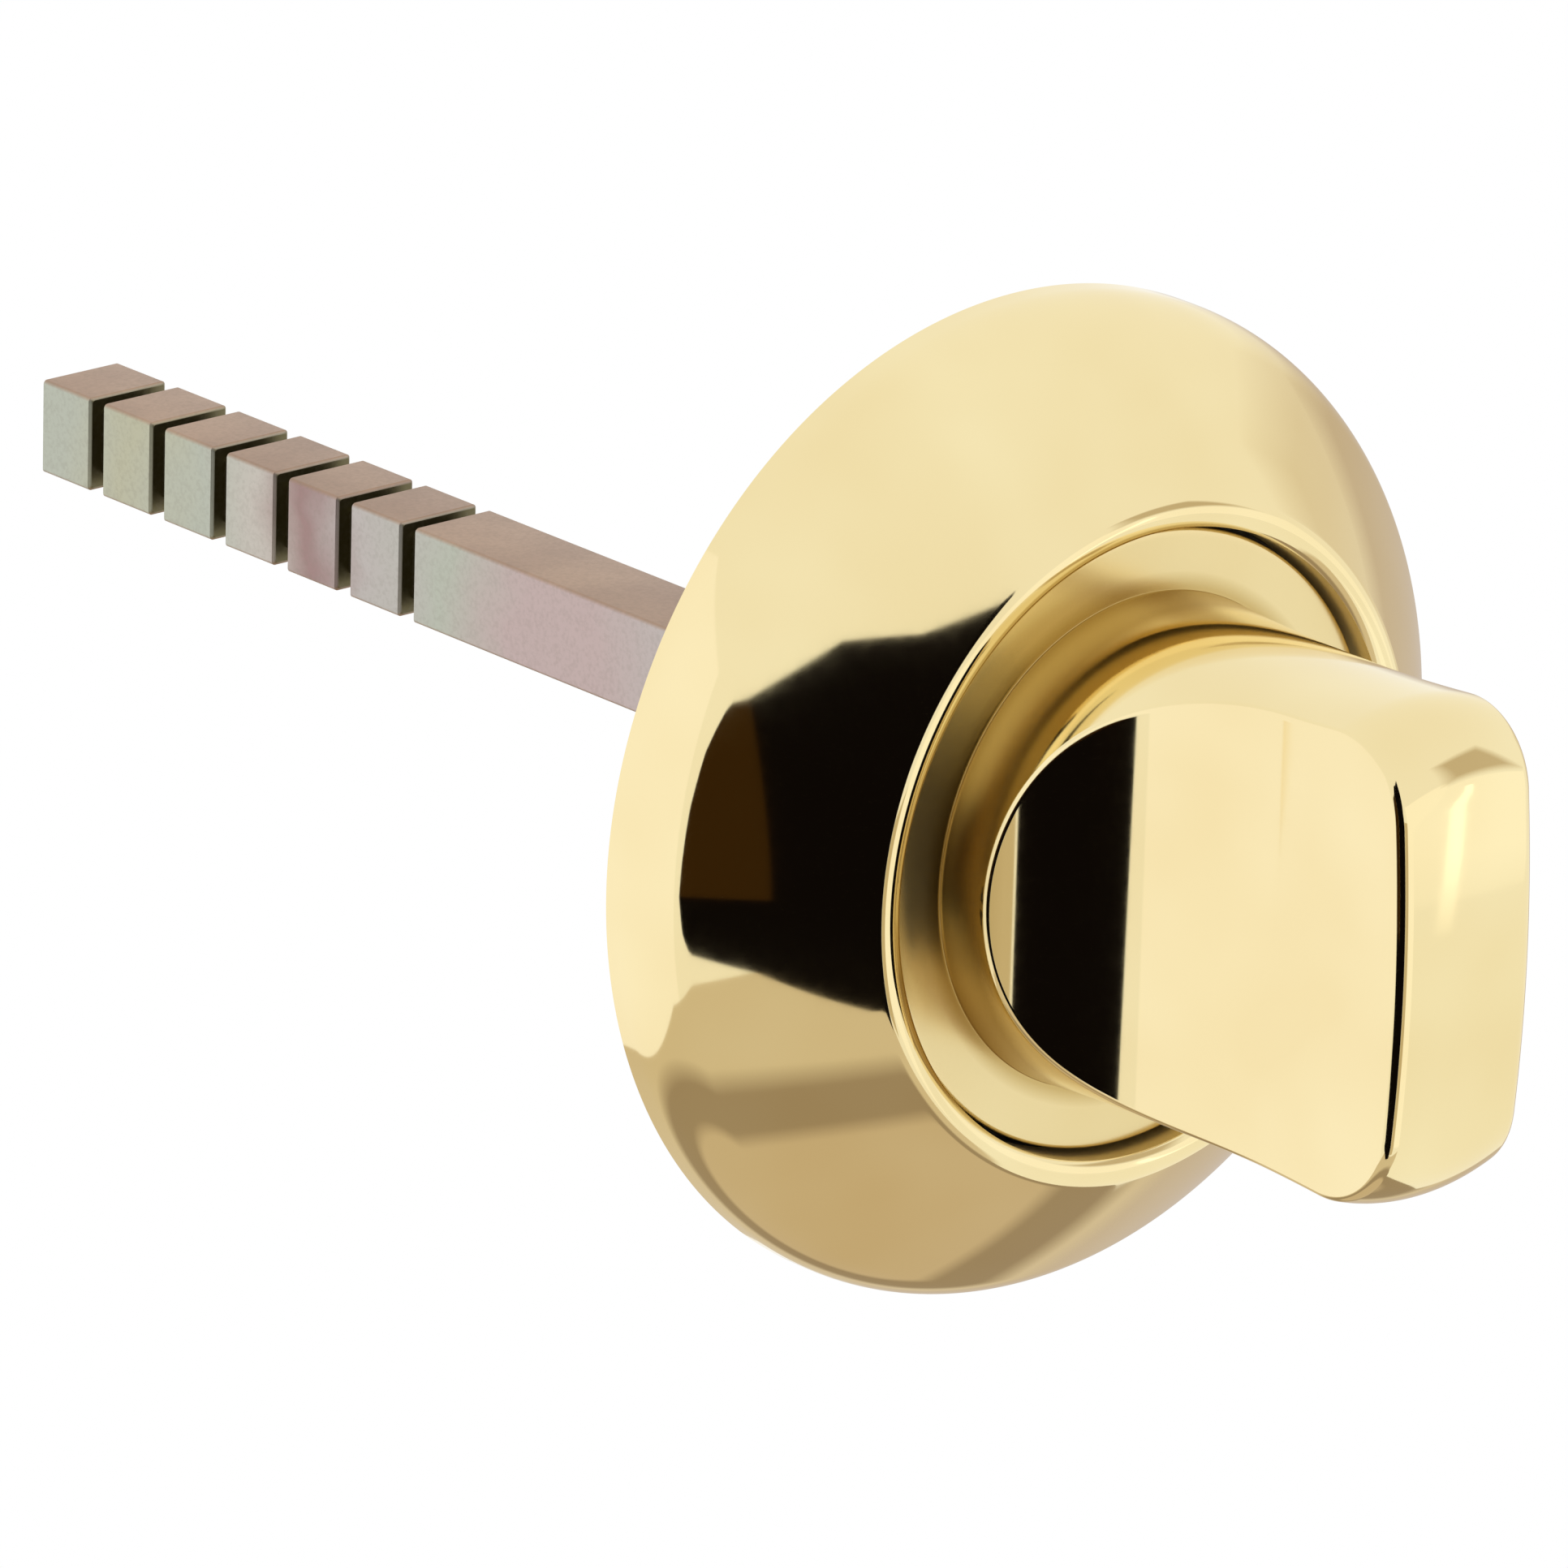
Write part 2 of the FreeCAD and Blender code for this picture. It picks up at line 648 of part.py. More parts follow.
def make_pin():
    """The slotted spring pin, which lies across the hub and stops short of its surface."""
    body = new_body("spindle_pin")
    section = new_sketch(body, "pin_section", "YZ_Plane")
    circle_at(section, "sizes.pin_radius", None, "sizes.pin_height")
    circle_at(section, "sizes.pin_bore", None, "sizes.pin_height")
    length = "2 * (sizes.hub_radius - sizes.pin_setback)"
    pad(body, section, "pin_tube", length, midplane=True)

    slit = new_sketch(body, "slit_outline", "XZ_Plane")
    half_slit = "sizes.pin_slit / 2"
    reach = "(sizes.hub_radius - sizes.pin_setback)"
    ends = [f"sizes.pin_height - {half_slit}", f"sizes.pin_height + {half_slit}"]
    low, high = [number(end) for end in ends]
    half_length = number(reach)
    right_low = FreeCAD.Vector(half_length, low, 0)
    right_high = FreeCAD.Vector(half_length, high, 0)
    left_high = FreeCAD.Vector(-half_length, high, 0)
    left_low = FreeCAD.Vector(-half_length, low, 0)
    pieces = [
        line(right_low, right_high),
        line(right_high, left_high),
        line(left_high, left_low),
        line(left_low, right_low),
    ]
    closed_outline(slit, pieces)
    right, left = 0, 2
    pin_point(slit, right, START, reach, ends[0])
    pin_point(slit, right, END, reach, ends[1])
    relate(slit, "Symmetric", right, START, left, END, V_AXIS)
    relate(slit, "Symmetric", right, END, left, START, V_AXIS)
    pocket(body, slit, "slit_cut", "sizes.pin_radius")
    return body


def make_thrust_washer():
    """The flat washer against the back of the base's boss."""
    body = new_body("thrust_washer")
    section = new_sketch(body, "thrust_section", "XY_Plane", WAVE_TOP)
    circle_at(section, "sizes.thrust_radius")
    circle_at(section, WASHER_BORE)
    pad(body, section, "thrust_disc", "sizes.thrust_thick")
    return body


def make_wave_washer():
    """The curved spring washer: a ring cut from a sheet that is bent about one axis."""
    bow = "(sizes.wave_height - sizes.wave_stock)"
    bend = f"((sizes.wave_radius ^ 2 + {bow} ^ 2) / (2 * {bow}))"

    def upright(name, radius):
        """A cylinder along the turning axis through the washer's place."""
        cylinder = doc.addObject("Part::Cylinder", name)
        cylinder.setExpression("Radius", radius)
        cylinder.setExpression("Height", f"(1 + {OVERRUN}) * sizes.wave_height")
        cylinder.setExpression("Placement.Base.z", f"{RING_TOP} - sizes.wave_height")
        return cylinder

    def bent(name, radius):
        """A cylinder across the turning axis, whose top is one face of the bent sheet."""
        cylinder = doc.addObject("Part::Cylinder", name)
        cylinder.setExpression("Radius", radius)
        cylinder.setExpression("Height", f"2 * {OVERRUN} * sizes.wave_radius")
        turned = FreeCAD.Rotation(FreeCAD.Vector(1, 0, 0), 90)
        cylinder.Placement = FreeCAD.Placement(FreeCAD.Vector(0, 0, 0), turned)
        cylinder.setExpression("Placement.Base.y", f"{OVERRUN} * sizes.wave_radius")
        cylinder.setExpression("Placement.Base.z", f"{WAVE_TOP} - {bend}")
        return cylinder

    def boolean(kind, name, base, tool):
        """One boolean of two shapes."""
        result = doc.addObject(f"Part::{kind}", name)
        result.Base = base
        result.Tool = tool
        return result

    outside = upright("wave_outside", "sizes.wave_radius")
    inside = upright("wave_inside", WASHER_BORE)
    upper = bent("wave_upper", bend)
    lower = bent("wave_lower", f"{bend} - sizes.wave_stock")
    ring = boolean("Cut", "wave_ring", outside, inside)
    sheet_metal = boolean("Cut", "wave_sheet", upper, lower)
    washer = boolean("Common", "wave_washer", ring, sheet_metal)
    washer.Label = "wave_washer"
    washer.Placement = OUTWARD
    return washer


def make_retaining_ring():
    """The circlip in the hub's groove: an open ring with two lugs, each with a plier hole."""
    body = new_body("retaining_ring")
    section = new_sketch(body, "ring_section", "XY_Plane", RING_BACK)
    circle_at(section, "sizes.ring_radius")
    circle_at(section, f"{GROOVE_RADIUS} + sizes.press_gap")
    pad(body, section, "ring_band", "sizes.ring_thick")

    lug_across = "(sizes.ring_gap / 2 + sizes.lug_radius)"
    lug_along = f"sqrt(sizes.lug_reach ^ 2 - {lug_across} ^ 2)"
    lugs = new_sketch(body, "lug_outline", "XY_Plane", RING_BACK)
    circle_pair(lugs, "sizes.lug_radius", lug_across, lug_along)
    pad(body, lugs, "ring_lugs", "sizes.ring_thick")

    gap = new_sketch(body, "gap_outline", "XY_Plane", RING_BACK)
    half_gap = number("sizes.ring_gap / 2")
    top = number(f"{OVERRUN} * sizes.ring_radius")
    spots = [(half_gap, 0), (half_gap, top), (-half_gap, top), (-half_gap, 0)]
    points = [FreeCAD.Vector(across, along, 0) for across, along in spots]
    closed_outline(gap, [line(start, end) for start, end in zip(points, points[1:] + points[:1])])
    right, left = 0, 2
    pin_point(gap, right, START, "sizes.ring_gap / 2", None)
    pin_point(gap, right, END, "sizes.ring_gap / 2", f"{OVERRUN} * sizes.ring_radius")
    relate(gap, "Symmetric", right, START, left, END, V_AXIS)
    relate(gap, "Symmetric", right, END, left, START, V_AXIS)
    pocket(body, gap, "gap_cut", "sizes.ring_thick")

    holes = new_sketch(body, "lug_holes", "XY_Plane", RING_BACK)
    circle_pair(holes, "sizes.lug_hole", lug_across, lug_along)
    pocket(body, holes, "lug_hole_cut", "sizes.ring_thick")
    return body


# Build, check and write


def main():
    """Builds every sub-part, checks it and writes its file."""
    makers = (
        make_cover,
        make_base,
        make_bush,
        make_turn,
        make_spindle,
        make_pin,
        make_thrust_washer,
        make_wave_washer,
        make_retaining_ring,
    )
    parts = [maker() for maker in makers]
    doc.recompute()
    for item in doc.Objects:
        if "Invalid" in item.State or "Error" in item.State:
            raise ValueError(f"{item.Label} failed: {item.State}")
    for part in parts:
        if part.Shape.isNull() or not part.Shape.isValid():
            raise ValueError(f"{part.Label} has no valid shape")
        if len(part.Shape.Solids) != 1:
            raise ValueError(f"{part.Label} has {len(part.Shape.Solids)} solids")
    os.makedirs("parts", exist_ok=True)
    for part in parts:
        part.Shape.exportStep(f"parts/{part.Label}.step")
        print(part.Label, round(part.Shape.Volume, 3))


main()
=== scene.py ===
"""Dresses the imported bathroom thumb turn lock: polished brass, passivated steel and a plain studio."""

import logging
import math
from dataclasses import dataclass, field
from enum import Enum
from functools import partial, reduce

import bmesh
import bpy
import numpy as np
from mathutils import Matrix, Vector


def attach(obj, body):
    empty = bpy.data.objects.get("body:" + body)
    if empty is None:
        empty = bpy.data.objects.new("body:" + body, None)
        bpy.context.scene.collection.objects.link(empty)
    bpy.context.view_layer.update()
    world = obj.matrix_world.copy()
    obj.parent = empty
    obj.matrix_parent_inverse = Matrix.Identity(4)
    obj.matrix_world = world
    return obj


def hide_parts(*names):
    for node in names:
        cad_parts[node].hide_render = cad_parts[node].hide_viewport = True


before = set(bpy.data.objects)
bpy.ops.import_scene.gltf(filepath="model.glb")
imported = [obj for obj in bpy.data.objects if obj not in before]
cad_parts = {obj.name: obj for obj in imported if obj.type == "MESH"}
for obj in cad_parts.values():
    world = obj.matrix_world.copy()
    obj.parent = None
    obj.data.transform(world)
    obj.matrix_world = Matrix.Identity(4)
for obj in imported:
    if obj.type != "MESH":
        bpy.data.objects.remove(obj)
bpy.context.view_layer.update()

MM = 0.001
SEW_DISTANCE = 1e-6
QUARTER_TURN = math.pi / 2
HALF_TURN = math.pi
FULL_TURN = 2 * math.pi

log = logging.getLogger("thumb_turn_lock")

Colour = tuple[float, float, float]
Limit = tuple[float, float]
Bands = tuple[tuple[float, Colour], ...]
Socket = bpy.types.NodeSocket


class Body(Enum):
    """The two rigid bodies that pieces ride on."""

    ROSE = "rose"
    TURN = "turn"


class Slot(Enum):
    """The record's material slots."""

    BRASS = "polished_brass"
    ZINC = "die_cast_zinc"
    NYLON = "nylon"
    STEEL = "passivated_steel"
    SPRING = "spring_steel"


# Points and grids


def arc_run(centre: np.ndarray, radius: float, start: float, end: float, count: int) -> np.ndarray:
    """Points on an arc: the centre plus the radius times the cosine and sine of evenly spaced angles.

    Args:
        centre: The arc's centre, as radius and height.
        radius: The arc's radius.
        start: First angle in radians.
        end: Last angle in radians.
        count: How many points.

    Returns:
        An array of points, two numbers each.
    """
    angle = np.linspace(start, end, count)
    return centre + radius * np.stack([np.cos(angle), np.sin(angle)], axis=-1)


def direction(start: np.ndarray, end: np.ndarray) -> float:
    """The angle of the line from one point to another, in radians."""
    return math.atan2(end[1] - start[1], end[0] - start[0])


def crossings(first: np.ndarray, reach: float, second: np.ndarray, span: float) -> list[np.ndarray]:
    """The two points at a given distance from each of two centres.

    Args:
        first: One centre.
        reach: Distance from the first centre.
        second: The other centre.
        span: Distance from the second centre.

    Returns:
        The two points, the lower one first.
    """
    apart = second - first
    length = np.linalg.norm(apart)
    along = (length**2 + reach**2 - span**2) / (2 * length)
    across = math.sqrt(reach**2 - along**2)
    forward = apart / length
    sideways = np.array([-forward[1], forward[0]])
    middle = first + forward * along
    return sorted((middle + sideways * across, middle - sideways * across), key=lambda spot: spot[1])


def lathe(profile: np.ndarray, angles: np.ndarray) -> np.ndarray:
    """A surface of revolution: each profile point's radius goes round by the cosine and sine of each angle.

    Args:
        profile: Points as radius and height.
        angles: Angles about the turning axis, from across towards up.

    Returns:
        A grid of points as across, out and up, one row per profile point.
    """
    radius = profile[:, :1]
    out = np.broadcast_to(profile[:, 1:], (len(profile), len(angles)))
    return np.stack([radius * np.cos(angles), out, radius * np.sin(angles)], axis=-1)


@dataclass
class Skin:
    """Grids of points in millimetres, as across, out from the door and up, which are sewn into one mesh."""

    name: str
    crease_deg: float = 32.0
    grids: list[np.ndarray] = field(default_factory=list)

    def add(self, grid: np.ndarray, mirror_across: bool = False, mirror_up: bool = False) -> None:
        """Adds a grid, and its mirror images where they are asked for.

        Args:
            grid: Rows and columns of points.
            mirror_across: Adds the image with across turned over as well.
            mirror_up: Adds the image with up turned over as well.
        """
        images = [grid]
        if mirror_across:
            images += [image * (-1, 1, 1) for image in images]
        if mirror_up:
            images += [image * (1, 1, -1) for image in images]
        self.grids += images

    def sew(self) -> bpy.types.Object:
        """Joins the grids at their common edges, turns the faces outwards and shades them.

        Returns:
            The new object, at the origin.
        """
        points = []
        faces = []
        start = 0
        for grid in self.grids:
            rows, columns = grid.shape[:2]
            index = start + np.arange(rows * columns).reshape(rows, columns)
            corners = [index[:-1, :-1], index[1:, :-1], index[1:, 1:], index[:-1, 1:]]
            faces.append(np.stack(corners, axis=-1).reshape(-1, 4))
            points.append(grid.reshape(-1, 3))
            start += rows * columns
        place = np.concatenate(points) * (MM, -MM, MM)
        mesh = bpy.data.meshes.new(self.name)
        mesh.from_pydata(place.tolist(), [], np.concatenate(faces).tolist())
        work = bmesh.new()
        work.from_mesh(mesh)
        bmesh.ops.remove_doubles(work, verts=work.verts, dist=SEW_DISTANCE)
        bmesh.ops.recalc_face_normals(work, faces=work.faces)
        work.to_mesh(mesh)
        work.free()
        mesh.polygons.foreach_set("use_smooth", np.ones(len(mesh.polygons), dtype=bool))
        mesh.set_sharp_from_angle(angle=math.radians(self.crease_deg))
        piece = bpy.data.objects.new(self.name, mesh)
        bpy.context.scene.collection.objects.link(piece)
        return piece


# Finishes


@dataclass(frozen=True)
class TurnedZone:
    """A zone of the turned brass, in millimetres of radius and of height above the door.

    A limit is a pair: where the zone has faded away, and where it is full.
    """

    radii: tuple[Limit, ...]
    heights: tuple[Limit, ...]


class NodeSheet:
    """A material's node tree with one Principled shader, and short ways to add nodes to it."""

    def __init__(self, name: str) -> None:
        """Starts an empty sheet.

        Args:
            name: The material's name.
        """
        self.material = bpy.data.materials.new(name)
        self.material.use_nodes = True
        self.tree = self.material.node_tree
        self.shader = self.tree.nodes["Principled BSDF"]
        self.surface = self.tree.nodes["Material Output"].inputs["Surface"]
        self.place = self.tree.nodes.new("ShaderNodeTexCoord").outputs["Object"]

    def link(self, source: Socket, target: Socket) -> None:
        """Joins two sockets."""
        self.tree.links.new(source, target)

    def feed(self, name: str, value: Socket) -> None:
        """Gives one of the shader's own sockets a value that varies."""
        self.link(value, self.shader.inputs[name])

    def noise(self, scale: float, detail: float) -> Socket:
        """Adds noise over the piece's own place.

        Args:
            scale: Patches per metre.
            detail: How many finer layers.

        Returns:
            The noise's value.
        """
        node = self.tree.nodes.new("ShaderNodeTexNoise")
        node.inputs["Scale"].default_value = scale
        node.inputs["Detail"].default_value = detail
        self.link(self.place, node.inputs["Vector"])
        return node.outputs["Fac"]

    def ramp(self, value: Socket, stops: Bands) -> Socket:
        """Turns a value into a colour.

        Args:
            value: The value that is looked up.
            stops: Places from 0 to 1 with their colours.

        Returns:
            The colour.
        """
        node = self.tree.nodes.new("ShaderNodeValToRGB")
        points = node.color_ramp.elements
        while len(points) < len(stops):
            points.new(1.0)
        for point, (at, colour) in zip(points, stops):
            point.position = at
            point.color = (*colour, 1.0)
        self.link(value, node.inputs["Fac"])
        return node.outputs["Color"]

    def mottle(self, value: Socket, dark: Colour, light: Colour, margin: float = 0.3) -> Socket:
        """Spreads two colours over noise.

        Args:
            value: The noise.
            dark: The colour where it is low.
            light: The colour where it is high.
            margin: The share at each end that is all one colour.

        Returns:
            The colour.
        """
        return self.ramp(value, ((margin, dark), (1 - margin, light)))

    def remap(self, value: Socket, source: Limit = (0.0, 1.0), target: Limit = (0.0, 1.0)) -> Socket:
        """Maps one range of a value onto another, and holds it there.

        Args:
            value: The value.
            source: The range that is read.
            target: What its two ends become.

        Returns:
            The mapped value.
        """
        node = self.tree.nodes.new("ShaderNodeMapRange")
        for name, setting in zip(("From Min", "From Max", "To Min", "To Max"), source + target):
            node.inputs[name].default_value = setting
        self.link(value, node.inputs["Value"])
        return node.outputs["Result"]

    def axis(self, letter: str, start: float, end: float) -> Socket:
        """How far along one axis of the piece a place lies, held between 0 and 1.

        Args:
            letter: The axis.
            start: Where the share is 0, in metres.
            end: Where the share is 1, in metres.

        Returns:
            The share.
        """
        parts = self.tree.nodes.new("ShaderNodeSeparateXYZ")
        self.link(self.place, parts.inputs["Vector"])
        return self.remap(parts.outputs[letter], source=(start, end))

    def distance(self, along: Colour) -> Socket:
        """A place's distance from the origin in metres.

        Args:
            along: How much each axis counts, where 0 leaves it out.

        Returns:
            The distance.
        """
        flat = self.tree.nodes.new("ShaderNodeMapping")
        flat.inputs["Scale"].default_value = along
        self.link(self.place, flat.inputs["Vector"])
        node = self.tree.nodes.new("ShaderNodeVectorMath")
        node.operation = "LENGTH"
        self.link(flat.outputs["Vector"], node.inputs[0])
        return node.outputs["Value"]

    def square_reach(self) -> Socket:
        """A place's distance from the turning axis, measured square: the larger of across and up."""
        sizes = self.tree.nodes.new("ShaderNodeVectorMath")
        sizes.operation = "ABSOLUTE"
        self.link(self.place, sizes.inputs[0])
        parts = self.tree.nodes.new("ShaderNodeSeparateXYZ")
        self.link(sizes.outputs["Vector"], parts.inputs["Vector"])
        return self.reckon("MAXIMUM", parts.outputs["X"], parts.outputs["Z"])

    def reckon(self, operation: str, first: Socket, second: Socket) -> Socket:
        """Works out one sum of two values.

        Args:
            operation: Blender's name for the sum, such as ADD or MULTIPLY.
            first: One value.
            second: The other value.

        Returns:
            The result.
        """
        node = self.tree.nodes.new("ShaderNodeMath")
        node.operation = operation
        self.link(first, node.inputs[0])
        self.link(second, node.inputs[1])
        return node.outputs["Value"]

    def total(self, *parts: tuple[Socket, float]) -> Socket:
        """Adds up values from 0 to 1, each times its own weight.

        Args:
            parts: Values with their weights.

        Returns:
            The total.
        """
        weighted = [self.remap(value, target=(0.0, weight)) for value, weight in parts]
        return reduce(partial(self.reckon, "ADD"), weighted)

    def inside(self, zone: TurnedZone) -> Socket:
        """How far a place lies inside a zone, from 0 to 1: its shares of all the zone's limits multiplied.

        Args:
            zone: The zone.

        Returns:
            The share.
        """
        radius = self.distance((1.0, 0.0, 1.0))
        shares = [self.remap(radius, source=(away * MM, full * MM)) for away, full in zone.radii]
        shares += [self.axis("Y", -away * MM, -full * MM) for away, full in zone.heights]
        return reduce(partial(self.reckon, "MULTIPLY"), shares)

    def cover(self, share: Socket, under: Socket, over: Socket | Colour) -> Socket:
        """Lays one colour over another.

        Args:
            share: How much of the upper colour shows.
            under: The colour below.
            over: The upper colour, which may be the same all over.

        Returns:
            The mixed colour.
        """
        node = self.tree.nodes.new("ShaderNodeMixRGB")
        self.link(share, node.inputs["Fac"])
        self.link(under, node.inputs["Color1"])
        if isinstance(over, tuple):
            node.inputs["Color2"].default_value = (*over, 1.0)
        else:
            self.link(over, node.inputs["Color2"])
        return node.outputs["Color"]

    def bump(self, height: Socket, strength: float, depth_mm: float) -> None:
        """Roughens the shader's normal.

        Args:
            height: The height that is read.
            strength: From 0, none, to 1, full.
            depth_mm: The height of a value of 1.
        """
        node = self.tree.nodes.new("ShaderNodeBump")
        node.inputs["Strength"].default_value = strength
        node.inputs["Distance"].default_value = depth_mm * MM
        self.link(height, node.inputs["Height"])
        self.feed("Normal", node.outputs["Normal"])


@dataclass(frozen=True)
class PolishedBrass:
    """Mirror-polished brass: satin where ring meets neck, with painted shade making it browner there and on
    the neck; dull on the hub and in the hole.
    """

    pale: Colour = (0.91, 0.78, 0.45)
    deep: Colour = (0.86, 0.71, 0.38)
    patch_scale: float = 90.0
    patch_bump: float = 0.12
    patch_depth_mm: float = 0.012
    polish_scale: float = 1400.0
    smooth: float = 0.035
    hazy: float = 0.075
    # Painted shade: dark brown laid over the ring-to-neck corner and the neck, standing in for shade and
    # dark reflections there.
    painted_shade: Colour = (0.47, 0.31, 0.07)
    corner: TurnedZone = TurnedZone(radii=((15.52, 15.44),), heights=((12.8, 11.6), (9.0, 9.1)))
    corner_shade: float = 0.2
    corner_haze: float = 0.165
    neck: TurnedZone = TurnedZone(radii=((13.3, 12.5),), heights=((12.8, 11.6), (9.0, 9.1)))
    neck_shade: float = 0.5
    hub: TurnedZone = TurnedZone(radii=((7.4, 7.25),), heights=((7.4, 7.25),))
    hub_haze: float = 0.30
    wall: TurnedZone = TurnedZone(radii=((15.48, 15.58), (15.76, 15.72)), heights=((10.34, 10.30),))
    wall_haze: float = 0.45

    def material(self) -> bpy.types.Material:
        """Makes the finish's material."""
        sheet = NodeSheet(Slot.BRASS.value)
        patches = sheet.noise(self.patch_scale, 2.0)
        brass = sheet.mottle(patches, self.deep, self.pale)
        corner = sheet.inside(self.corner)
        # Painted shade: the corner and neck shares of the dark brown that is laid over the brass.
        painted_shade = sheet.total((corner, self.corner_shade), (sheet.inside(self.neck), self.neck_shade))
        sheet.feed("Base Color", sheet.cover(painted_shade, brass, self.painted_shade))
        polish = sheet.remap(sheet.noise(self.polish_scale, 3.0), target=(self.smooth, self.hazy))
        dull = sheet.total(
            (corner, self.corner_haze),
            (sheet.inside(self.hub), self.hub_haze),
            (sheet.inside(self.wall), self.wall_haze),
        )
        sheet.feed("Roughness", sheet.reckon("ADD", polish, dull))
        sheet.shader.inputs["Metallic"].default_value = 1.0
        sheet.bump(patches, self.patch_bump, self.patch_depth_mm)
        return sheet.material


@dataclass(frozen=True)
class PassivatedSteel:
    """Zinc plate with a yellow passivation: tinted bands along the sides, browner faces and notches
    darkened with painted shade.

    Faces, notches and the far end are told apart by distances in metres. Each is a pair: where its share is
    0, and where it is 1.
    """

    length: float = 0.0715
    wander: float = 0.05
    wander_scale: float = 160.0
    face_at: Limit = (0.0023, 0.00248)
    notch_at: Limit = (0.00242, 0.00232)
    short_of_end: Limit = (0.0713, 0.0711)
    grain_scale: float = 4600.0
    grain_bump: float = 0.25
    grain_depth_mm: float = 0.01
    smooth: float = 0.30
    rough: float = 0.48
    speckle_at: Limit = (0.45, 0.65)
    speckle_share: float = 0.16
    speckle: Colour = (0.27, 0.24, 0.19)
    # Painted shade: the dark colour laid over the notches.
    notch_shade: Colour = (0.16, 0.14, 0.075)
    brown: Colour = (0.44, 0.30, 0.21)
    dark_brown: Colour = (0.36, 0.24, 0.17)
    lilac: Colour = (0.49, 0.45, 0.41)
    pink: Colour = (0.51, 0.40, 0.37)
    green: Colour = (0.46, 0.48, 0.39)
    plum: Colour = (0.34, 0.22, 0.20)
    straw: Colour = (0.48, 0.47, 0.33)
    pearl: Colour = (0.54, 0.50, 0.43)

    def bands(self) -> Bands:
        """The tints along the bar, from the door to its far end."""
        return (
            (0.16, self.green),
            (0.30, self.lilac),
            (0.38, self.pink),
            (0.46, self.pink),
            (0.55, self.green),
            (0.64, self.lilac),
            (0.69, self.plum),
            (0.74, self.pearl),
            (0.82, self.green),
            (0.90, self.straw),
            (0.97, self.green),
        )

    def material(self) -> bpy.types.Material:
        """Makes the finish's material."""
        sheet = NodeSheet(Slot.STEEL.value)
        along = sheet.axis("Y", 0.0, self.length)
        drift = sheet.remap(sheet.noise(self.wander_scale, 3.0), target=(-self.wander, self.wander))
        sides = sheet.ramp(sheet.reckon("ADD", along, drift), self.bands())
        cloud = sheet.noise(self.wander_scale, 4.0)
        faces = sheet.mottle(cloud, self.dark_brown, self.brown, margin=0.35)
        start, full = self.face_at
        level = sheet.reckon("ADD", sheet.axis("Z", start, full), sheet.axis("Z", -start, -full))
        plate = sheet.cover(level, sides, faces)
        sunk = sheet.remap(sheet.square_reach(), source=self.notch_at)
        # Painted shade in the notches, stopping short of the far end.
        notch_shade_share = sheet.reckon("MULTIPLY", sunk, sheet.axis("Y", *self.short_of_end))
        colour = sheet.cover(notch_shade_share, plate, self.notch_shade)
        grain = sheet.noise(self.grain_scale, 4.0)
        specks = sheet.total((sheet.remap(grain, source=self.speckle_at), self.speckle_share))
        sheet.feed("Base Color", sheet.cover(specks, colour, self.speckle))
        sheet.feed("Roughness", sheet.remap(grain, target=(self.smooth, self.rough)))
        sheet.shader.inputs["Metallic"].default_value = 1.0
        sheet.bump(grain, self.grain_bump, self.grain_depth_mm)
        return sheet.material


@dataclass(frozen=True)
class DullSurface:
    """A plain working finish, such as cast zinc, spring steel or nylon, mottled and finely grained."""

    slot: Slot
    light: Colour
    dark: Colour
    metallic: float
    smooth: float
    rough: float
    mottle_scale: float = 260.0
    grain_scale: float = 3200.0
    grain_bump: float = 0.2
    grain_depth_mm: float = 0.01

    def material(self) -> bpy.types.Material:
        """Makes the finish's material."""
        sheet = NodeSheet(self.slot.value)
        sheet.feed("Base Color", sheet.mottle(sheet.noise(self.mottle_scale, 4.0), self.dark, self.light))
        grain = sheet.noise(self.grain_scale, 3.0)
        sheet.feed("Roughness", sheet.remap(grain, target=(self.smooth, self.rough)))
        sheet.shader.inputs["Metallic"].default_value = self.metallic
        sheet.bump(grain, self.grain_bump, self.grain_depth_mm)
        return sheet.material


def wear(piece: bpy.types.Object, material: bpy.types.Material) -> None:
    """Gives a piece one material in place of any it has."""
    piece.data.materials.clear()
    piece.data.materials.append(material)


# The rose


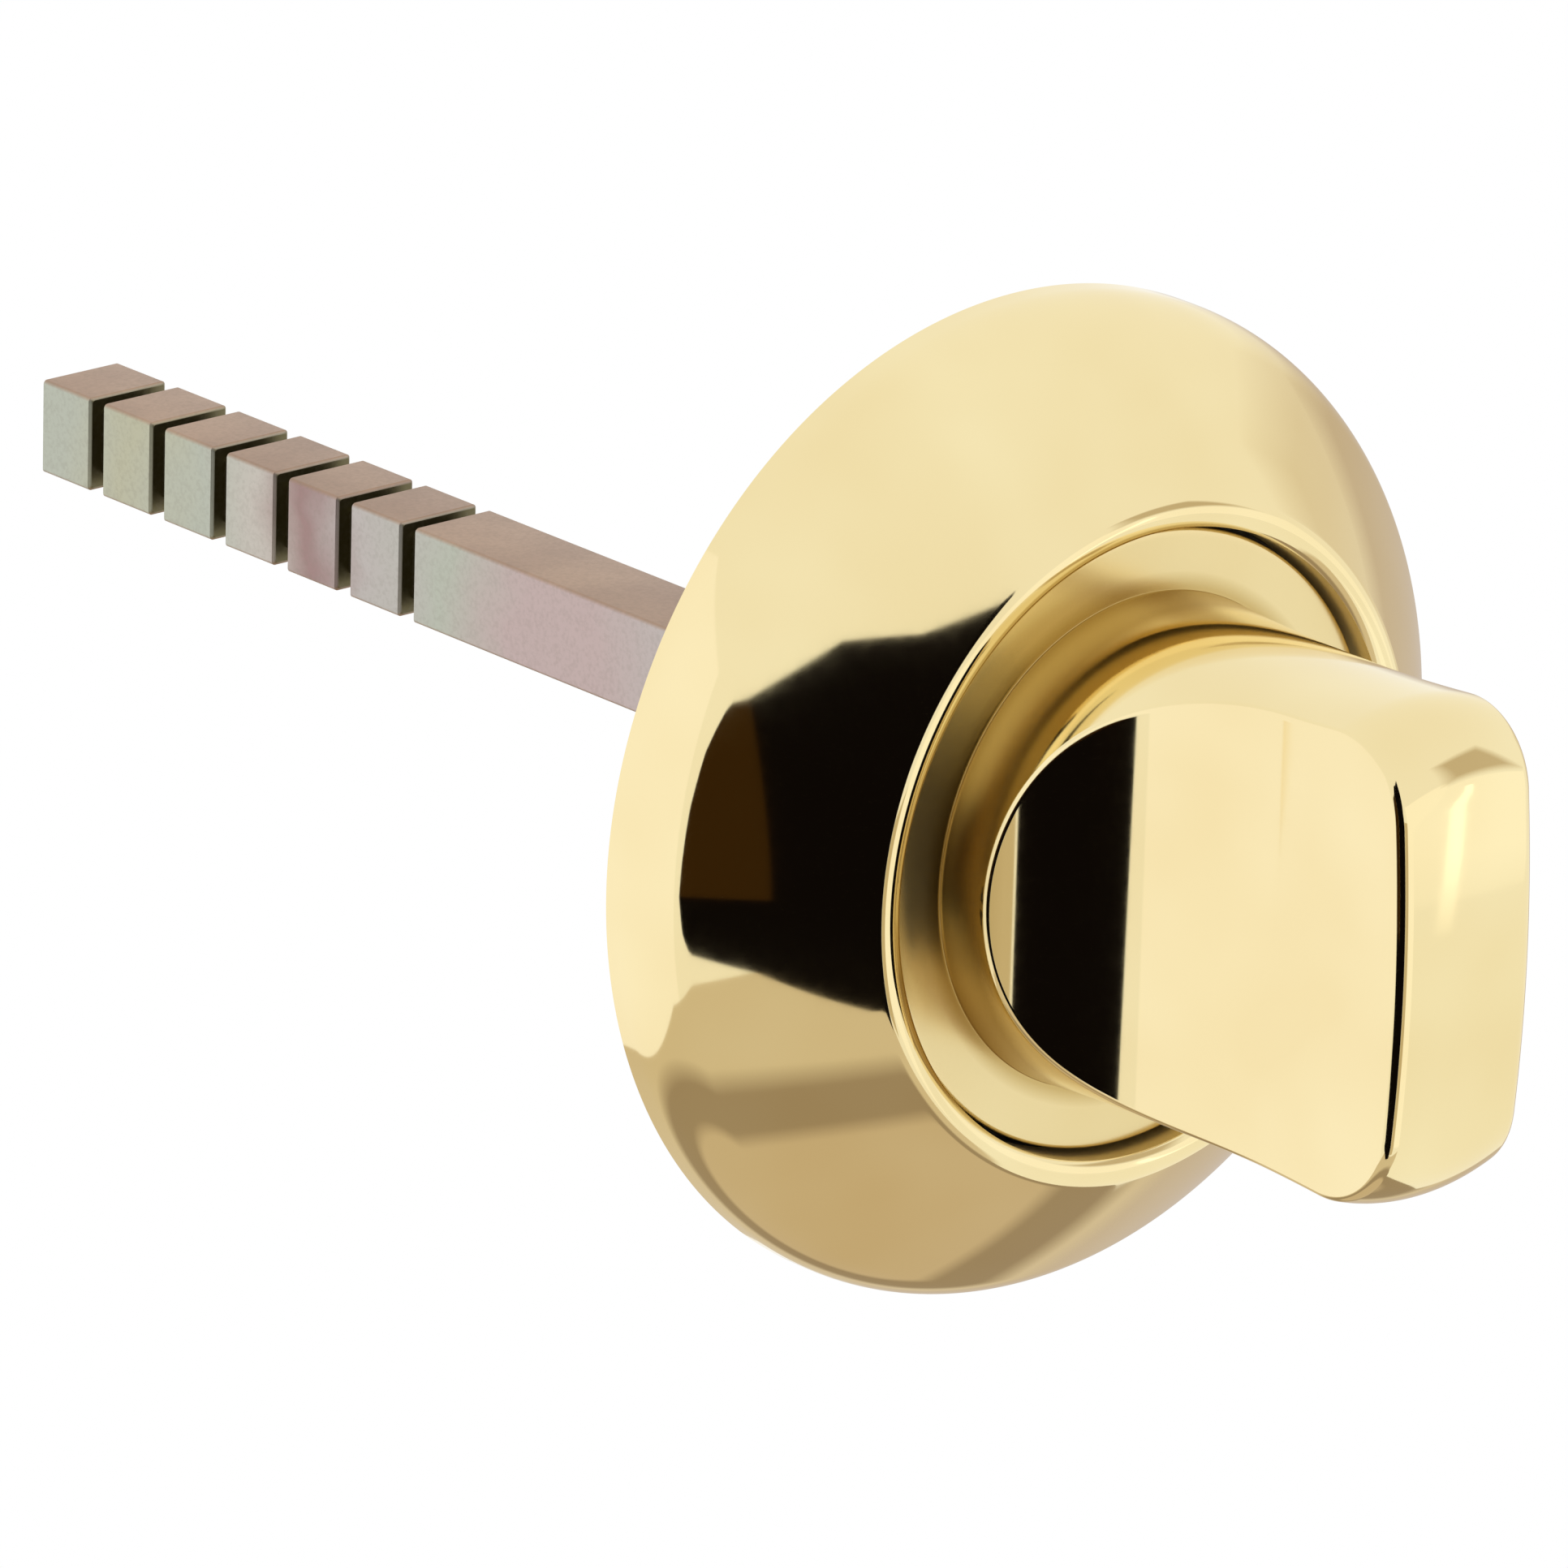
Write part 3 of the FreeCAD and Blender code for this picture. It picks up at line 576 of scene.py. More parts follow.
@dataclass
class RoseCover:
    """The domed cover: a skirt, a rounded edge, a convex dome and a lip rolled in round the hole."""

    radius: float = 25.0
    wall: float = 1.0
    rim_height: float = 0.93
    edge_round: float = 5.0
    inner_rim: float = 1.8
    inner_round: float = 1.5
    dome_radius: float = 60.0
    lip_height: float = 10.6
    lip_round: float = 1.1
    hole_radius: float = 15.3
    mouth_radius: float = 15.7
    collar_wall: float = 1.0
    collar_depth: float = 2.6
    snap_height: float = 1.0
    snap_half_width: float = 0.4
    snap_depth: float = 0.3
    edge_points: int = 24
    dome_points: int = 56
    lip_points: int = 28
    inner_points: int = 20
    inner_round_points: int = 10
    turns: int = 289

    def profile(self) -> np.ndarray:
        """The section as a closed run of points: skirt, edge arc, dome arc, lip arc, hole and inner wall.

        The dome's centre lies one dome radius less one edge radius from the edge's centre, and one dome
        radius less one lip radius from the lip's, so that all three arcs meet smoothly. The lip's arc stops
        at the mouth of the hole, where it leaves a crisp edge.

        Returns:
            Points as radius and height.
        """
        edge_centre = np.array([self.radius - self.edge_round, self.rim_height])
        lip_centre = np.array([self.hole_radius + self.lip_round, self.lip_height - self.lip_round])
        edge_reach = self.dome_radius - self.edge_round
        lip_reach = self.dome_radius - self.lip_round
        dome_centre = crossings(edge_centre, edge_reach, lip_centre, lip_reach)[0]
        edge_angle = direction(dome_centre, edge_centre)
        lip_angle = direction(dome_centre, lip_centre)
        mouth_angle = math.acos((self.mouth_radius - lip_centre[0]) / self.lip_round)
        inner = self.radius - self.wall
        inner_centre = np.array([inner - self.inner_round, self.inner_rim])
        inner_angle = direction(dome_centre, inner_centre)
        inside = self.dome_radius - self.wall
        collar_end = self.lip_height - self.collar_depth
        collar_back = self.hole_radius + self.collar_wall
        inner_lip = math.acos((collar_back - dome_centre[0]) / inside)
        low = self.snap_height - self.snap_half_width
        high = self.snap_height + self.snap_half_width
        runs = [
            np.array([[self.radius, 0.0]]),
            arc_run(edge_centre, self.edge_round, 0.0, edge_angle, self.edge_points),
            arc_run(dome_centre, self.dome_radius, edge_angle, lip_angle, self.dome_points)[1:],
            arc_run(lip_centre, self.lip_round, lip_angle, mouth_angle, self.lip_points)[1:],
            np.array([[self.mouth_radius, collar_end], [collar_back, collar_end]]),
            arc_run(dome_centre, inside, inner_lip, inner_angle, self.inner_points)[:-1],
            arc_run(inner_centre, self.inner_round, inner_angle, 0.0, self.inner_round_points),
            np.array([[inner, high], [inner + self.snap_depth, self.snap_height], [inner, low]]),
            np.array([[inner, 0.0], [self.radius, 0.0]]),
        ]
        return np.concatenate(runs)

    def build(self) -> bpy.types.Object:
        """Turns the section about the axis and stands it in for the solid."""
        skin = Skin("cover_shell")
        skin.add(lathe(self.profile(), np.linspace(0.0, FULL_TURN, self.turns)))
        shell = skin.sew()
        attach(shell, Body.ROSE.value)
        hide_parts("rose_cover")
        return shell


# The thumb turn


@dataclass
class EdgeRun:
    """A ball rolled along the edge between the turned surface and a milled side.

    Each row holds the ball's centre and radius, the turned surface's normal where the ball touches it and
    the side's normal where the ball touches that. Points are across, out and up.
    """

    centre: np.ndarray
    turned: np.ndarray
    side: np.ndarray
    radius: np.ndarray

    def turned_touch(self) -> np.ndarray:
        """Where the ball touches the turned surface: its centre plus its radius along that normal."""
        return self.centre + self.radius[:, None] * self.turned

    def side_touch(self) -> np.ndarray:
        """Where the ball touches the milled side: its centre plus its radius along that normal."""
        return self.centre + self.radius[:, None] * self.side

    def band(self, count: int) -> np.ndarray:
        """The rounded edge itself: the ball's radius swung evenly from one normal to the other.

        Args:
            count: Points across the band.

        Returns:
            A grid of points, one row per row of the run.
        """
        between = np.arccos(np.clip(np.sum(self.turned * self.side, axis=1), -1.0, 1.0))[:, None]
        part = np.linspace(0.0, 1.0, count)[None, :]
        start = np.sin((1 - part) * between) / np.sin(between)
        end = np.sin(part * between) / np.sin(between)
        swing = start[..., None] * self.turned[:, None, :] + end[..., None] * self.side[:, None, :]
        return self.centre[:, None, :] + self.radius[:, None, None] * swing


@dataclass
class ThumbTurn:
    """The turn: hub, flange and neck turned all round, and a wing left by milling both sides."""

    hub_radius: float = 7.0
    hub_setback: float = 0.2
    groove_low: float = 1.2
    groove_high: float = 2.3
    groove_radius: float = 6.7
    flange_radius: float = 15.4
    flange_face: float = 9.4
    flange_back: float = 7.4
    flange_round: float = 0.2
    neck_radius: float = 12.35
    neck_round: float = 0.03
    waist_radius: float = 12.0
    waist_arc: float = 120.0
    head_round: float = 4.2
    end_dome: float = 80.0
    reach: float = 32.6
    half_wing: float = 4.4
    mill_round: float = 12.5
    flat_start: float = 24.0
    socket_half: float = 2.55
    socket_end: float = 10.0
    low_edge: float = 0.36
    side_edge: float = 0.36
    end_edge: float = 0.9
    side_points: int = 97
    strip_points: int = 97
    band_points: int = 9
    corner_points: int = 8
    face_points: int = 12
    neck_points: int = 16

    def __post_init__(self) -> None:
        """Finds the centres of the waist, head and end arcs, which meet smoothly, as radius and height."""
        waist_across = self.waist_radius + self.waist_arc
        rise = math.sqrt(self.waist_arc**2 - (waist_across - self.neck_radius) ** 2)
        self.waist_centre = np.array([waist_across, self.flange_face + rise])
        self.end_centre = np.array([0.0, self.reach - self.end_dome])
        waist_reach = self.waist_arc + self.head_round
        end_reach = self.end_dome - self.head_round
        self.head_centre = crossings(self.waist_centre, waist_reach, self.end_centre, end_reach)[1]

    def on_revolved(self, section: np.ndarray, normal: np.ndarray, across: np.ndarray) -> tuple:
        """Carries section points round the axis to a given distance across.

        Up is the square root of the radius squared less across squared, and the normal turns with it.

        Args:
            section: Points as radius and height.
            normal: Their normals as radius and height.
            across: How far across each goes.

        Returns:
            The points and normals, as across, out and up.
        """
        radius = section[:, 0]
        up = np.sqrt(np.maximum(radius**2 - across**2, 0.0))
        point = np.stack([across, section[:, 1], up], axis=-1)
        radial = normal[:, 0] / radius
        turned = np.stack([radial * across, normal[:, 1], radial * up], axis=-1)
        return point, turned

    def waist_section(self, height: np.ndarray, inset: np.ndarray) -> tuple:
        """The neck's outline, set in by a distance.

        Its radius is the waist centre's less the root of the arc's radius squared less the height squared.

        Args:
            height: Heights above the door.
            inset: How far each is set in.

        Returns:
            Section points and their outward normals.
        """
        arc = self.waist_arc + inset
        above = height - self.waist_centre[1]
        radius = self.waist_centre[0] - np.sqrt(arc**2 - above**2)
        normal = np.stack([(self.waist_centre[0] - radius) / arc, -above / arc], axis=-1)
        return np.stack([radius, height], axis=-1), normal

    def lowest_angle(self, rounds: int = 20) -> float:
        """The run-out's angle where its edge is level with the axis, found by putting each answer back in.

        Args:
            rounds: How many times the answer is put back.

        Returns:
            The angle in radians.
        """
        reach = self.mill_round + self.low_edge
        inset = np.array([self.low_edge])
        angle = HALF_TURN / 3
        for _ in range(rounds):
            height = np.array([self.flat_start - reach * math.sin(angle)])
            section = self.waist_section(height, inset)[0]
            angle = math.acos((self.half_wing + self.mill_round - section[0, 0]) / reach)
        return angle

    def run_out_edge(self, count: int = 65) -> EdgeRun:
        """The edge beside the concave run-out, a cylinder that the flat side leaves smoothly.

        The angle falls from its lowest place with the square of the row's share, so that the rows are
        evenly spaced along the edge.

        Args:
            count: Rows.

        Returns:
            The run from the level of the axis up to the flat side.
        """
        share = np.linspace(0.0, 1.0, count)
        angle = self.lowest_angle() * (1 - share**2)
        ball = self.low_edge + (self.side_edge - self.low_edge) * share**2
        reach = self.mill_round + ball
        across = self.half_wing + self.mill_round - reach * np.cos(angle)
        section, normal = self.waist_section(self.flat_start - reach * np.sin(angle), ball)
        across[0] = section[0, 0]
        centre, turned = self.on_revolved(section, normal, across)
        side = np.stack([np.cos(angle), np.sin(angle), np.zeros(count)], axis=-1)
        return EdgeRun(centre, turned, side, ball)

    def side_edge_run(self, count: int = 24) -> EdgeRun:
        """The edge up the flat side, along the waisted neck.

        Args:
            count: Rows.

        Returns:
            The run from the run-out to the head.
        """
        ball = np.full(count, self.side_edge)
        share = (self.waist_arc + self.side_edge) / (self.waist_arc + self.head_round)
        top = self.waist_centre[1] + (self.head_centre[1] - self.waist_centre[1]) * share
        height = np.linspace(self.flat_start, top, count)
        section, normal = self.waist_section(height, ball)
        centre, turned = self.on_revolved(section, normal, self.half_wing - ball)
        return EdgeRun(centre, turned, np.tile([1.0, 0.0, 0.0], (count, 1)), ball)

    def head_edge_run(self, count: int = 25) -> EdgeRun:
        """The edge round the head's corner, an arc from the waist to the end dome.

        Args:
            count: Rows.

        Returns:
            The run from the side to the end.
        """
        start = direction(self.head_centre, self.waist_centre)
        end = direction(self.end_centre, self.head_centre)
        angle = np.linspace(start, end, count)
        ball = np.linspace(self.side_edge, self.end_edge, count)
        normal = np.stack([np.cos(angle), np.sin(angle)], axis=-1)
        section = self.head_centre + (self.head_round - ball)[:, None] * normal
        centre, turned = self.on_revolved(section, normal, self.half_wing - ball)
        return EdgeRun(centre, turned, np.tile([1.0, 0.0, 0.0], (count, 1)), ball)

    def head_end_radius(self) -> float:
        """Radius at which the head's arc meets the end dome."""
        angle = direction(self.end_centre, self.head_centre)
        return self.head_centre[0] + self.head_round * math.cos(angle)

    def dome_out(self, across: np.ndarray, up: np.ndarray) -> np.ndarray:
        """Height of the end dome, a sphere: its centre's height plus the root of what the radius leaves."""
        return self.end_centre[1] + np.sqrt(self.end_dome**2 - across**2 - up**2)

    def end_edge_run(self, count: int = 33) -> EdgeRun:
        """The edge across the wing's end, from the head to the middle.

        Args:
            count: Rows.

        Returns:
            The run from the head to the middle.
        """
        ball = np.full(count, self.end_edge)
        across = (self.half_wing - ball) * self.end_dome / (self.end_dome - ball)
        up = np.linspace(1.0, 0.0, count) * np.sqrt(self.head_end_radius() ** 2 - across**2)
        touch = np.stack([across, self.dome_out(across, up), up], axis=-1)
        middle = np.array([0.0, self.end_centre[1], 0.0])
        turned = (touch - middle) / self.end_dome
        centre = touch - self.end_edge * turned
        return EdgeRun(centre, turned, np.tile([1.0, 0.0, 0.0], (count, 1)), ball)

    def crowded(self, count: int) -> np.ndarray:
        """Shares from -1 to 1 that crowd towards both ends: the sines of evenly spaced angles."""
        return np.sin(np.linspace(-QUARTER_TURN, QUARTER_TURN, count))

    def strip(self, run: EdgeRun) -> np.ndarray:
        """The turned surface between the wing's two edges, at each row's own height.

        Up is the root of the row's radius squared less across squared.

        Args:
            run: The edge on one side.

        Returns:
            A grid from one edge to the other.
        """
        touch = run.turned_touch()
        radius = np.hypot(touch[:, 0], touch[:, 2])[:, None]
        across = touch[:, :1] * self.crowded(self.strip_points)
        up = np.sqrt(np.maximum(radius**2 - across**2, 0.0))
        out = np.broadcast_to(touch[:, 1:2], across.shape)
        return np.stack([across, out, up], axis=-1)

    def end_strip(self, run: EdgeRun) -> np.ndarray:
        """The end dome between the wing's edges.

        Up is a row's share of the head's arc at that distance across, and out is the dome's height there.

        Args:
            run: The edge on one side.

        Returns:
            A grid from one edge to the other.
        """
        across = run.turned_touch()[:, :1] * self.crowded(self.strip_points)
        share = np.linspace(1.0, 0.0, len(across))[:, None]
        up = share * np.sqrt(self.head_end_radius() ** 2 - across**2)
        return np.stack([across, self.dome_out(across, up), up], axis=-1)

    def side_sheet(self, run: EdgeRun) -> np.ndarray:
        """A milled side: straight lines at each row's height from the edge to its mirror image below.

        Args:
            run: The edge above.

        Returns:
            A grid of points.
        """
        touch = run.side_touch()
        share = self.crowded(self.side_points)
        across = np.broadcast_to(touch[:, :1], (len(touch), len(share)))
        out = np.broadcast_to(touch[:, 1:2], across.shape)
        return np.stack([across, out, touch[:, 2:] * share], axis=-1)

    def turned_base(self, top: float) -> np.ndarray:
        """The section of hub, flange and neck below the milled sides.

        Args:
            top: The height at which it ends.

        Returns:
            Points as radius and height.
        """
        corner = self.flange_round
        back = np.array([self.flange_radius - corner, self.flange_back + corner])
        front = np.array([self.flange_radius - corner, self.flange_face - corner])
        fillet = np.array([self.neck_radius + self.neck_round, self.flange_face + self.neck_round])
        face = np.linspace(front[0], fillet[0], self.face_points)[1:]
        rise = np.linspace(fillet[1], top, self.neck_points)
        runs = [
            np.array([[self.hub_radius, self.hub_setback], [self.hub_radius, self.groove_low]]),
            np.array([[self.groove_radius, self.groove_low], [self.groove_radius, self.groove_high]]),
            np.array([[self.hub_radius, self.groove_high], [self.hub_radius, self.flange_back]]),
            arc_run(back, corner, -QUARTER_TURN, 0.0, self.corner_points),
            arc_run(front, corner, 0.0, QUARTER_TURN, self.corner_points),
            np.stack([face, np.full_like(face, self.flange_face)], axis=-1),
            arc_run(fillet, self.neck_round, -QUARTER_TURN, -HALF_TURN, self.face_points)[1:-1],
            self.waist_section(rise, np.zeros_like(rise))[0],
        ]
        return np.concatenate(runs)

    def socket(self, angles: np.ndarray) -> np.ndarray:
        """The hub's back face and square socket.

        The square's edge lies at its half side over the larger of the angle's cosine and sine.

        Args:
            angles: Angles about the turning axis.

        Returns:
            A grid from the hub's edge to the socket's end.
        """
        square = self.socket_half / np.maximum(np.abs(np.cos(angles)), np.abs(np.sin(angles)))
        rings = [np.full_like(square, self.hub_radius), square, square, np.zeros_like(square)]
        heights = [self.hub_setback, self.hub_setback, self.socket_end, self.socket_end]
        radius = np.stack(rings)
        out = np.broadcast_to(np.array(heights)[:, None], radius.shape)
        return np.stack([radius * np.cos(angles), out, radius * np.sin(angles)], axis=-1)

    def build(self) -> bpy.types.Object:
        """Sews the surfaces together and stands them in for the solid."""
        skin = Skin("turn_skin")
        runs = [self.run_out_edge(), self.side_edge_run(), self.head_edge_run(), self.end_edge_run()]
        for run in runs:
            skin.add(run.band(self.band_points), mirror_across=True, mirror_up=True)
            skin.add(self.side_sheet(run), mirror_across=True)
        for run in runs[:-1]:
            skin.add(self.strip(run), mirror_up=True)
        skin.add(self.end_strip(runs[-1]), mirror_up=True)
        foot = self.strip(runs[0])[0]
        over = np.arctan2(foot[::-1, 2], foot[::-1, 0])
        angles = np.concatenate([over, over[1:] + HALF_TURN])
        skin.add(lathe(self.turned_base(foot[0, 1]), angles))
        skin.add(self.socket(angles))
        turn = skin.sew()
        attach(turn, Body.TURN.value)
        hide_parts("thumb_turn")
        return turn


@dataclass
class Spindle:
    """The square bar, with a row of break-off notches cut all round it."""

    side: float = 5.0
    reach: float = 71.5
    inset: float = 9.8
    corner: float = 0.22
    notch_count: int = 6
    notch_width: float = 1.0
    notch_depth: float = 0.8
    notch_pitch: float = 5.0
    end_block: float = 4.0
    edge: float = 0.14
    corner_points: int = 6

    def stations(self) -> np.ndarray:
        """Places along the bar and half widths there: full on the blocks, less in the notches.

        Returns:
            Rows of height above the door and half width.
        """
        half = self.side / 2
        floor = half - self.notch_depth
        soft = self.edge
        start = -self.reach
        rows = [(start, 0.0), (start, half - soft), (start + soft, half)]
        for index in range(self.notch_count):
            near = start + self.end_block + index * self.notch_pitch
            far = near + self.notch_width
            rows += [(near - soft, half), (near, half - soft), (near, floor)]
            rows += [(far, floor), (far, half - soft), (far + soft, half)]
        rows += [(self.inset - soft, half), (self.inset, half - soft), (self.inset, 0.0)]
        return np.array(rows)

    def section(self) -> np.ndarray:
        """A square of half width 1 with its corners rounded by arcs, as a closed run of points."""
        soft = self.corner / (self.side / 2)
        angle = np.linspace(0.0, QUARTER_TURN, self.corner_points)
        arc = (1 - soft) + soft * np.stack([np.cos(angle), np.sin(angle)], axis=-1)
        quarter = arc[:, 0] + 1j * arc[:, 1]
        loop = np.concatenate([quarter * 1j**turn for turn in range(4)])
        loop = np.append(loop, loop[:1])
        return np.stack([loop.real, loop.imag], axis=-1)

    def build(self) -> bpy.types.Object:
        """Carries the section along the bar, scaled at each place, and stands it in for the solid."""
        stations = self.stations()
        section = self.section()
        half = stations[:, 1:]
        across = half * section[:, 0]
        up = half * section[:, 1]
        out = np.broadcast_to(stations[:, :1], across.shape)
        skin = Skin("spindle_bar")
        skin.add(np.stack([across, out, up], axis=-1))
        bar = skin.sew()
        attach(bar, Body.TURN.value)
        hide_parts("spindle")
        return bar


# Studio


def oblong(left: float, right: float, low: float, high: float) -> tuple[Limit, ...]:
    """The corners of an oblong card, from its bearings and heights in degrees."""
    return ((left, low), (right, low), (right, high), (left, high))


@dataclass(frozen=True)
class Card:
    """A flat upright card round the object that only reflections see.

    Its corners are given as bearings from the front, to the right, and heights, both in degrees. Feather is
    the share of the card, from its rim towards its middle, over which it fades away.
    """

    name: str
    tone: Colour
    corners_deg: tuple[Limit, ...]
    distance: float = 0.38
    feather: float = 0.0

    def corners(self) -> np.ndarray:
        """Corner places on a plane that faces the object at the card's middle bearing.

        Across is the distance times the tangent of the bearing from the middle. Up is the distance times
        the tangent of the height over that bearing's cosine.

        Returns:
            Points in metres.
        """
        bearing, height = np.radians(np.array(self.corners_deg)).T
        middle = (bearing.min() + bearing.max()) / 2
        away = np.array([math.sin(middle), -math.cos(middle), 0.0])
        right = np.array([math.cos(middle), math.sin(middle), 0.0])
        across = self.distance * np.tan(bearing - middle)
        up = self.distance * np.tan(height) / np.cos(bearing - middle)
        return self.distance * away + across[:, None] * right + up[:, None] * (0.0, 0.0, 1.0)


@dataclass
class Studio:
    """A pale floor, even light all round, and cards that shape the reflections in the brass."""

    floor_drop: float = 0.41
    floor_half: float = 0.5
    floor_paper: Colour = (0.97, 0.97, 0.97)
    floor_roughness: float = 0.9
    table_drop: float = 0.40
    # Painted shadow: the darker band in these glowing tones is a shadow pool painted round the object.
    table_tones_and_painted_shadow: Bands = (
        (0.36, (0.62, 0.52, 0.41)),
        (0.42, (0.37, 0.30, 0.23)),
        (0.58, (0.37, 0.30, 0.23)),
        (0.70, (0.70, 0.62, 0.51)),
    )
    sky: float = 1.0
    cards: tuple[Card, ...] = (
        Card(
            "dark_card",
            (0.004, 0.003, 0.003),
            ((-46.0, -16.0), (-64.0, -16.0), (-60.0, -23.0), (-47.0, -30.0), (-34.0, -39.0), (-16.5, -40.0))
            + ((-16.5, 5.0), (2.0, 41.0), (-21.0, 34.0), (-33.0, 30.5), (-46.0, 18.5)),
        ),
        Card(
            "brown_card",
            (0.036, 0.017, 0.004),
            ((-64.0, -16.0), (-46.0, -16.0), (-46.0, 18.5), (-58.0, 10.0), (-62.0, 0.0)),
        ),
        Card("left_card", (1.08, 1.08, 1.12), oblong(-170.0, -69.0, -40.0, 26.0)),
        Card("tan_card", (0.62, 0.53, 0.38), oblong(-15.5, 0.0, -36.0, -4.0)),
        Card("front_card", (1.12, 1.12, 1.12), oblong(0.0, 34.0, -30.0, 12.0)),
        Card(
            "strip_card",
            (1.5, 1.5, 1.5),
            ((36.6, -16.0), (38.2, -16.0), (38.8, 3.0), (37.4, 3.0)),
            distance=0.36,
        ),
        Card("lip_card", (1.1, 1.1, 1.1), oblong(34.0, 62.0, -14.0, 8.0)),
        Card("dim_card", (0.62, 0.54, 0.43), oblong(32.0, 58.0, 9.0, 32.0), feather=0.4),
        Card("low_card", (1.0, 1.0, 0.98), oblong(30.0, 104.0, -60.0, -10.0), distance=0.25, feather=0.12),
        Card(
            "right_card",
            (0.82, 0.77, 0.70),
            ((80.0, -34.0), (140.0, -34.0), (130.0, 6.0), (80.0, 24.0)),
            feather=0.35,
        ),
        Card(
            "right_edge",
            (0.62, 0.54, 0.47),
            ((98.0, -46.0), (143.0, -46.0), (143.0, -16.0), (130.0, 1.0), (98.0, 12.0)),
            distance=0.36,
            feather=0.25,
        ),
    )

    def sheet(self, name: str, corners: np.ndarray, feather: float = 0.0) -> bpy.types.Object:
        """A flat stage piece from its corners, with an attribute that falls from 1 inside to 0 at the rim.

        Args:
            name: The piece's name.
            corners: Points in order round the piece.
            feather: The share of the piece over which it fades.

        Returns:
            The new object.
        """
        count = len(corners)
        points = corners
        faces = [list(range(count))]
        if feather:
            middle = corners.mean(axis=0)
            here = np.arange(count)
            after = np.roll(here, -1)
            points = np.concatenate([middle + (corners - middle) * (1 - feather), corners])
            faces += np.stack([here, here + count, after + count, after], axis=-1).tolist()
        mesh = bpy.data.meshes.new(name)
        mesh.from_pydata(points.tolist(), [], faces)
        fade = mesh.attributes.new("fade", "FLOAT", "POINT")
        fade.data.foreach_set("value", (np.arange(len(points)) < count).astype(float))
        piece = bpy.data.objects.new(name, mesh)
        bpy.context.scene.collection.objects.link(piece)
        return piece

    def level_sheet(self, name: str, drop: float) -> bpy.types.Object:
        """A square stage piece that lies level, a given drop below the turning axis."""
        half = self.floor_half
        corners = np.array([(-half, -half), (half, -half), (half, half), (-half, half)])
        return self.sheet(name, np.column_stack([corners, np.full(4, -drop)]))

    def floor(self) -> None:
        """Lays the floor of plain pale paper."""
        sheet = NodeSheet("floor_paper")
        sheet.shader.inputs["Base Color"].default_value = (*self.floor_paper, 1.0)
        sheet.shader.inputs["Roughness"].default_value = self.floor_roughness
        wear(self.level_sheet("floor", self.floor_drop), sheet.material)

    def reflect_only(self, piece: bpy.types.Object) -> None:
        """Leaves a stage piece to reflections alone."""
        piece.visible_camera = False
        piece.visible_diffuse = False
        piece.visible_shadow = False

    def table(self) -> None:
        """Lays a round table top in warm tones above the floor, which only reflections see; it glows with
        painted tones, and its darker ring is a painted shadow pool.
        """
        piece = self.level_sheet("shadowed_table_card", self.table_drop)
        self.reflect_only(piece)
        sheet = NodeSheet("shadowed_table_card")
        reach = sheet.remap(sheet.distance((1.0, 1.0, 0.0)), source=(0.0, self.floor_half))
        glow = sheet.tree.nodes.new("ShaderNodeEmission")
        sheet.link(sheet.ramp(reach, self.table_tones_and_painted_shadow), glow.inputs["Color"])
        sheet.link(glow.outputs["Emission"], sheet.surface)
        wear(piece, sheet.material)

    def stand(self, card: Card) -> None:
        """Stands one card, with an even tone of its own that fades at the rim."""
        piece = self.sheet(card.name, card.corners(), card.feather)
        self.reflect_only(piece)
        sheet = NodeSheet(card.name)
        fade = sheet.tree.nodes.new("ShaderNodeAttribute")
        fade.attribute_name = "fade"
        clear = sheet.tree.nodes.new("ShaderNodeBsdfTransparent")
        glow = sheet.tree.nodes.new("ShaderNodeEmission")
        glow.inputs["Color"].default_value = (*card.tone, 1.0)
        mix = sheet.tree.nodes.new("ShaderNodeMixShader")
        sheet.link(fade.outputs["Fac"], mix.inputs["Fac"])
        sheet.link(clear.outputs["BSDF"], mix.inputs[1])
        sheet.link(glow.outputs["Emission"], mix.inputs[2])
        sheet.link(mix.outputs["Shader"], sheet.surface)
        wear(piece, sheet.material)

    def light(self) -> None:
        """Lights the object evenly from all round, with plain white behind it."""
        world = bpy.data.worlds.new("studio")
        world.use_nodes = True
        background = world.node_tree.nodes["Background"]
        background.inputs["Color"].default_value = (1.0, 1.0, 1.0, 1.0)
        background.inputs["Strength"].default_value = self.sky
        bpy.context.scene.world = world

    def build(self) -> None:
        """Sets up floor, cards and light."""
        self.floor()
        self.table()
        for card in self.cards:
            self.stand(card)
        self.light()
        bpy.context.scene.view_settings.view_transform = "Standard"


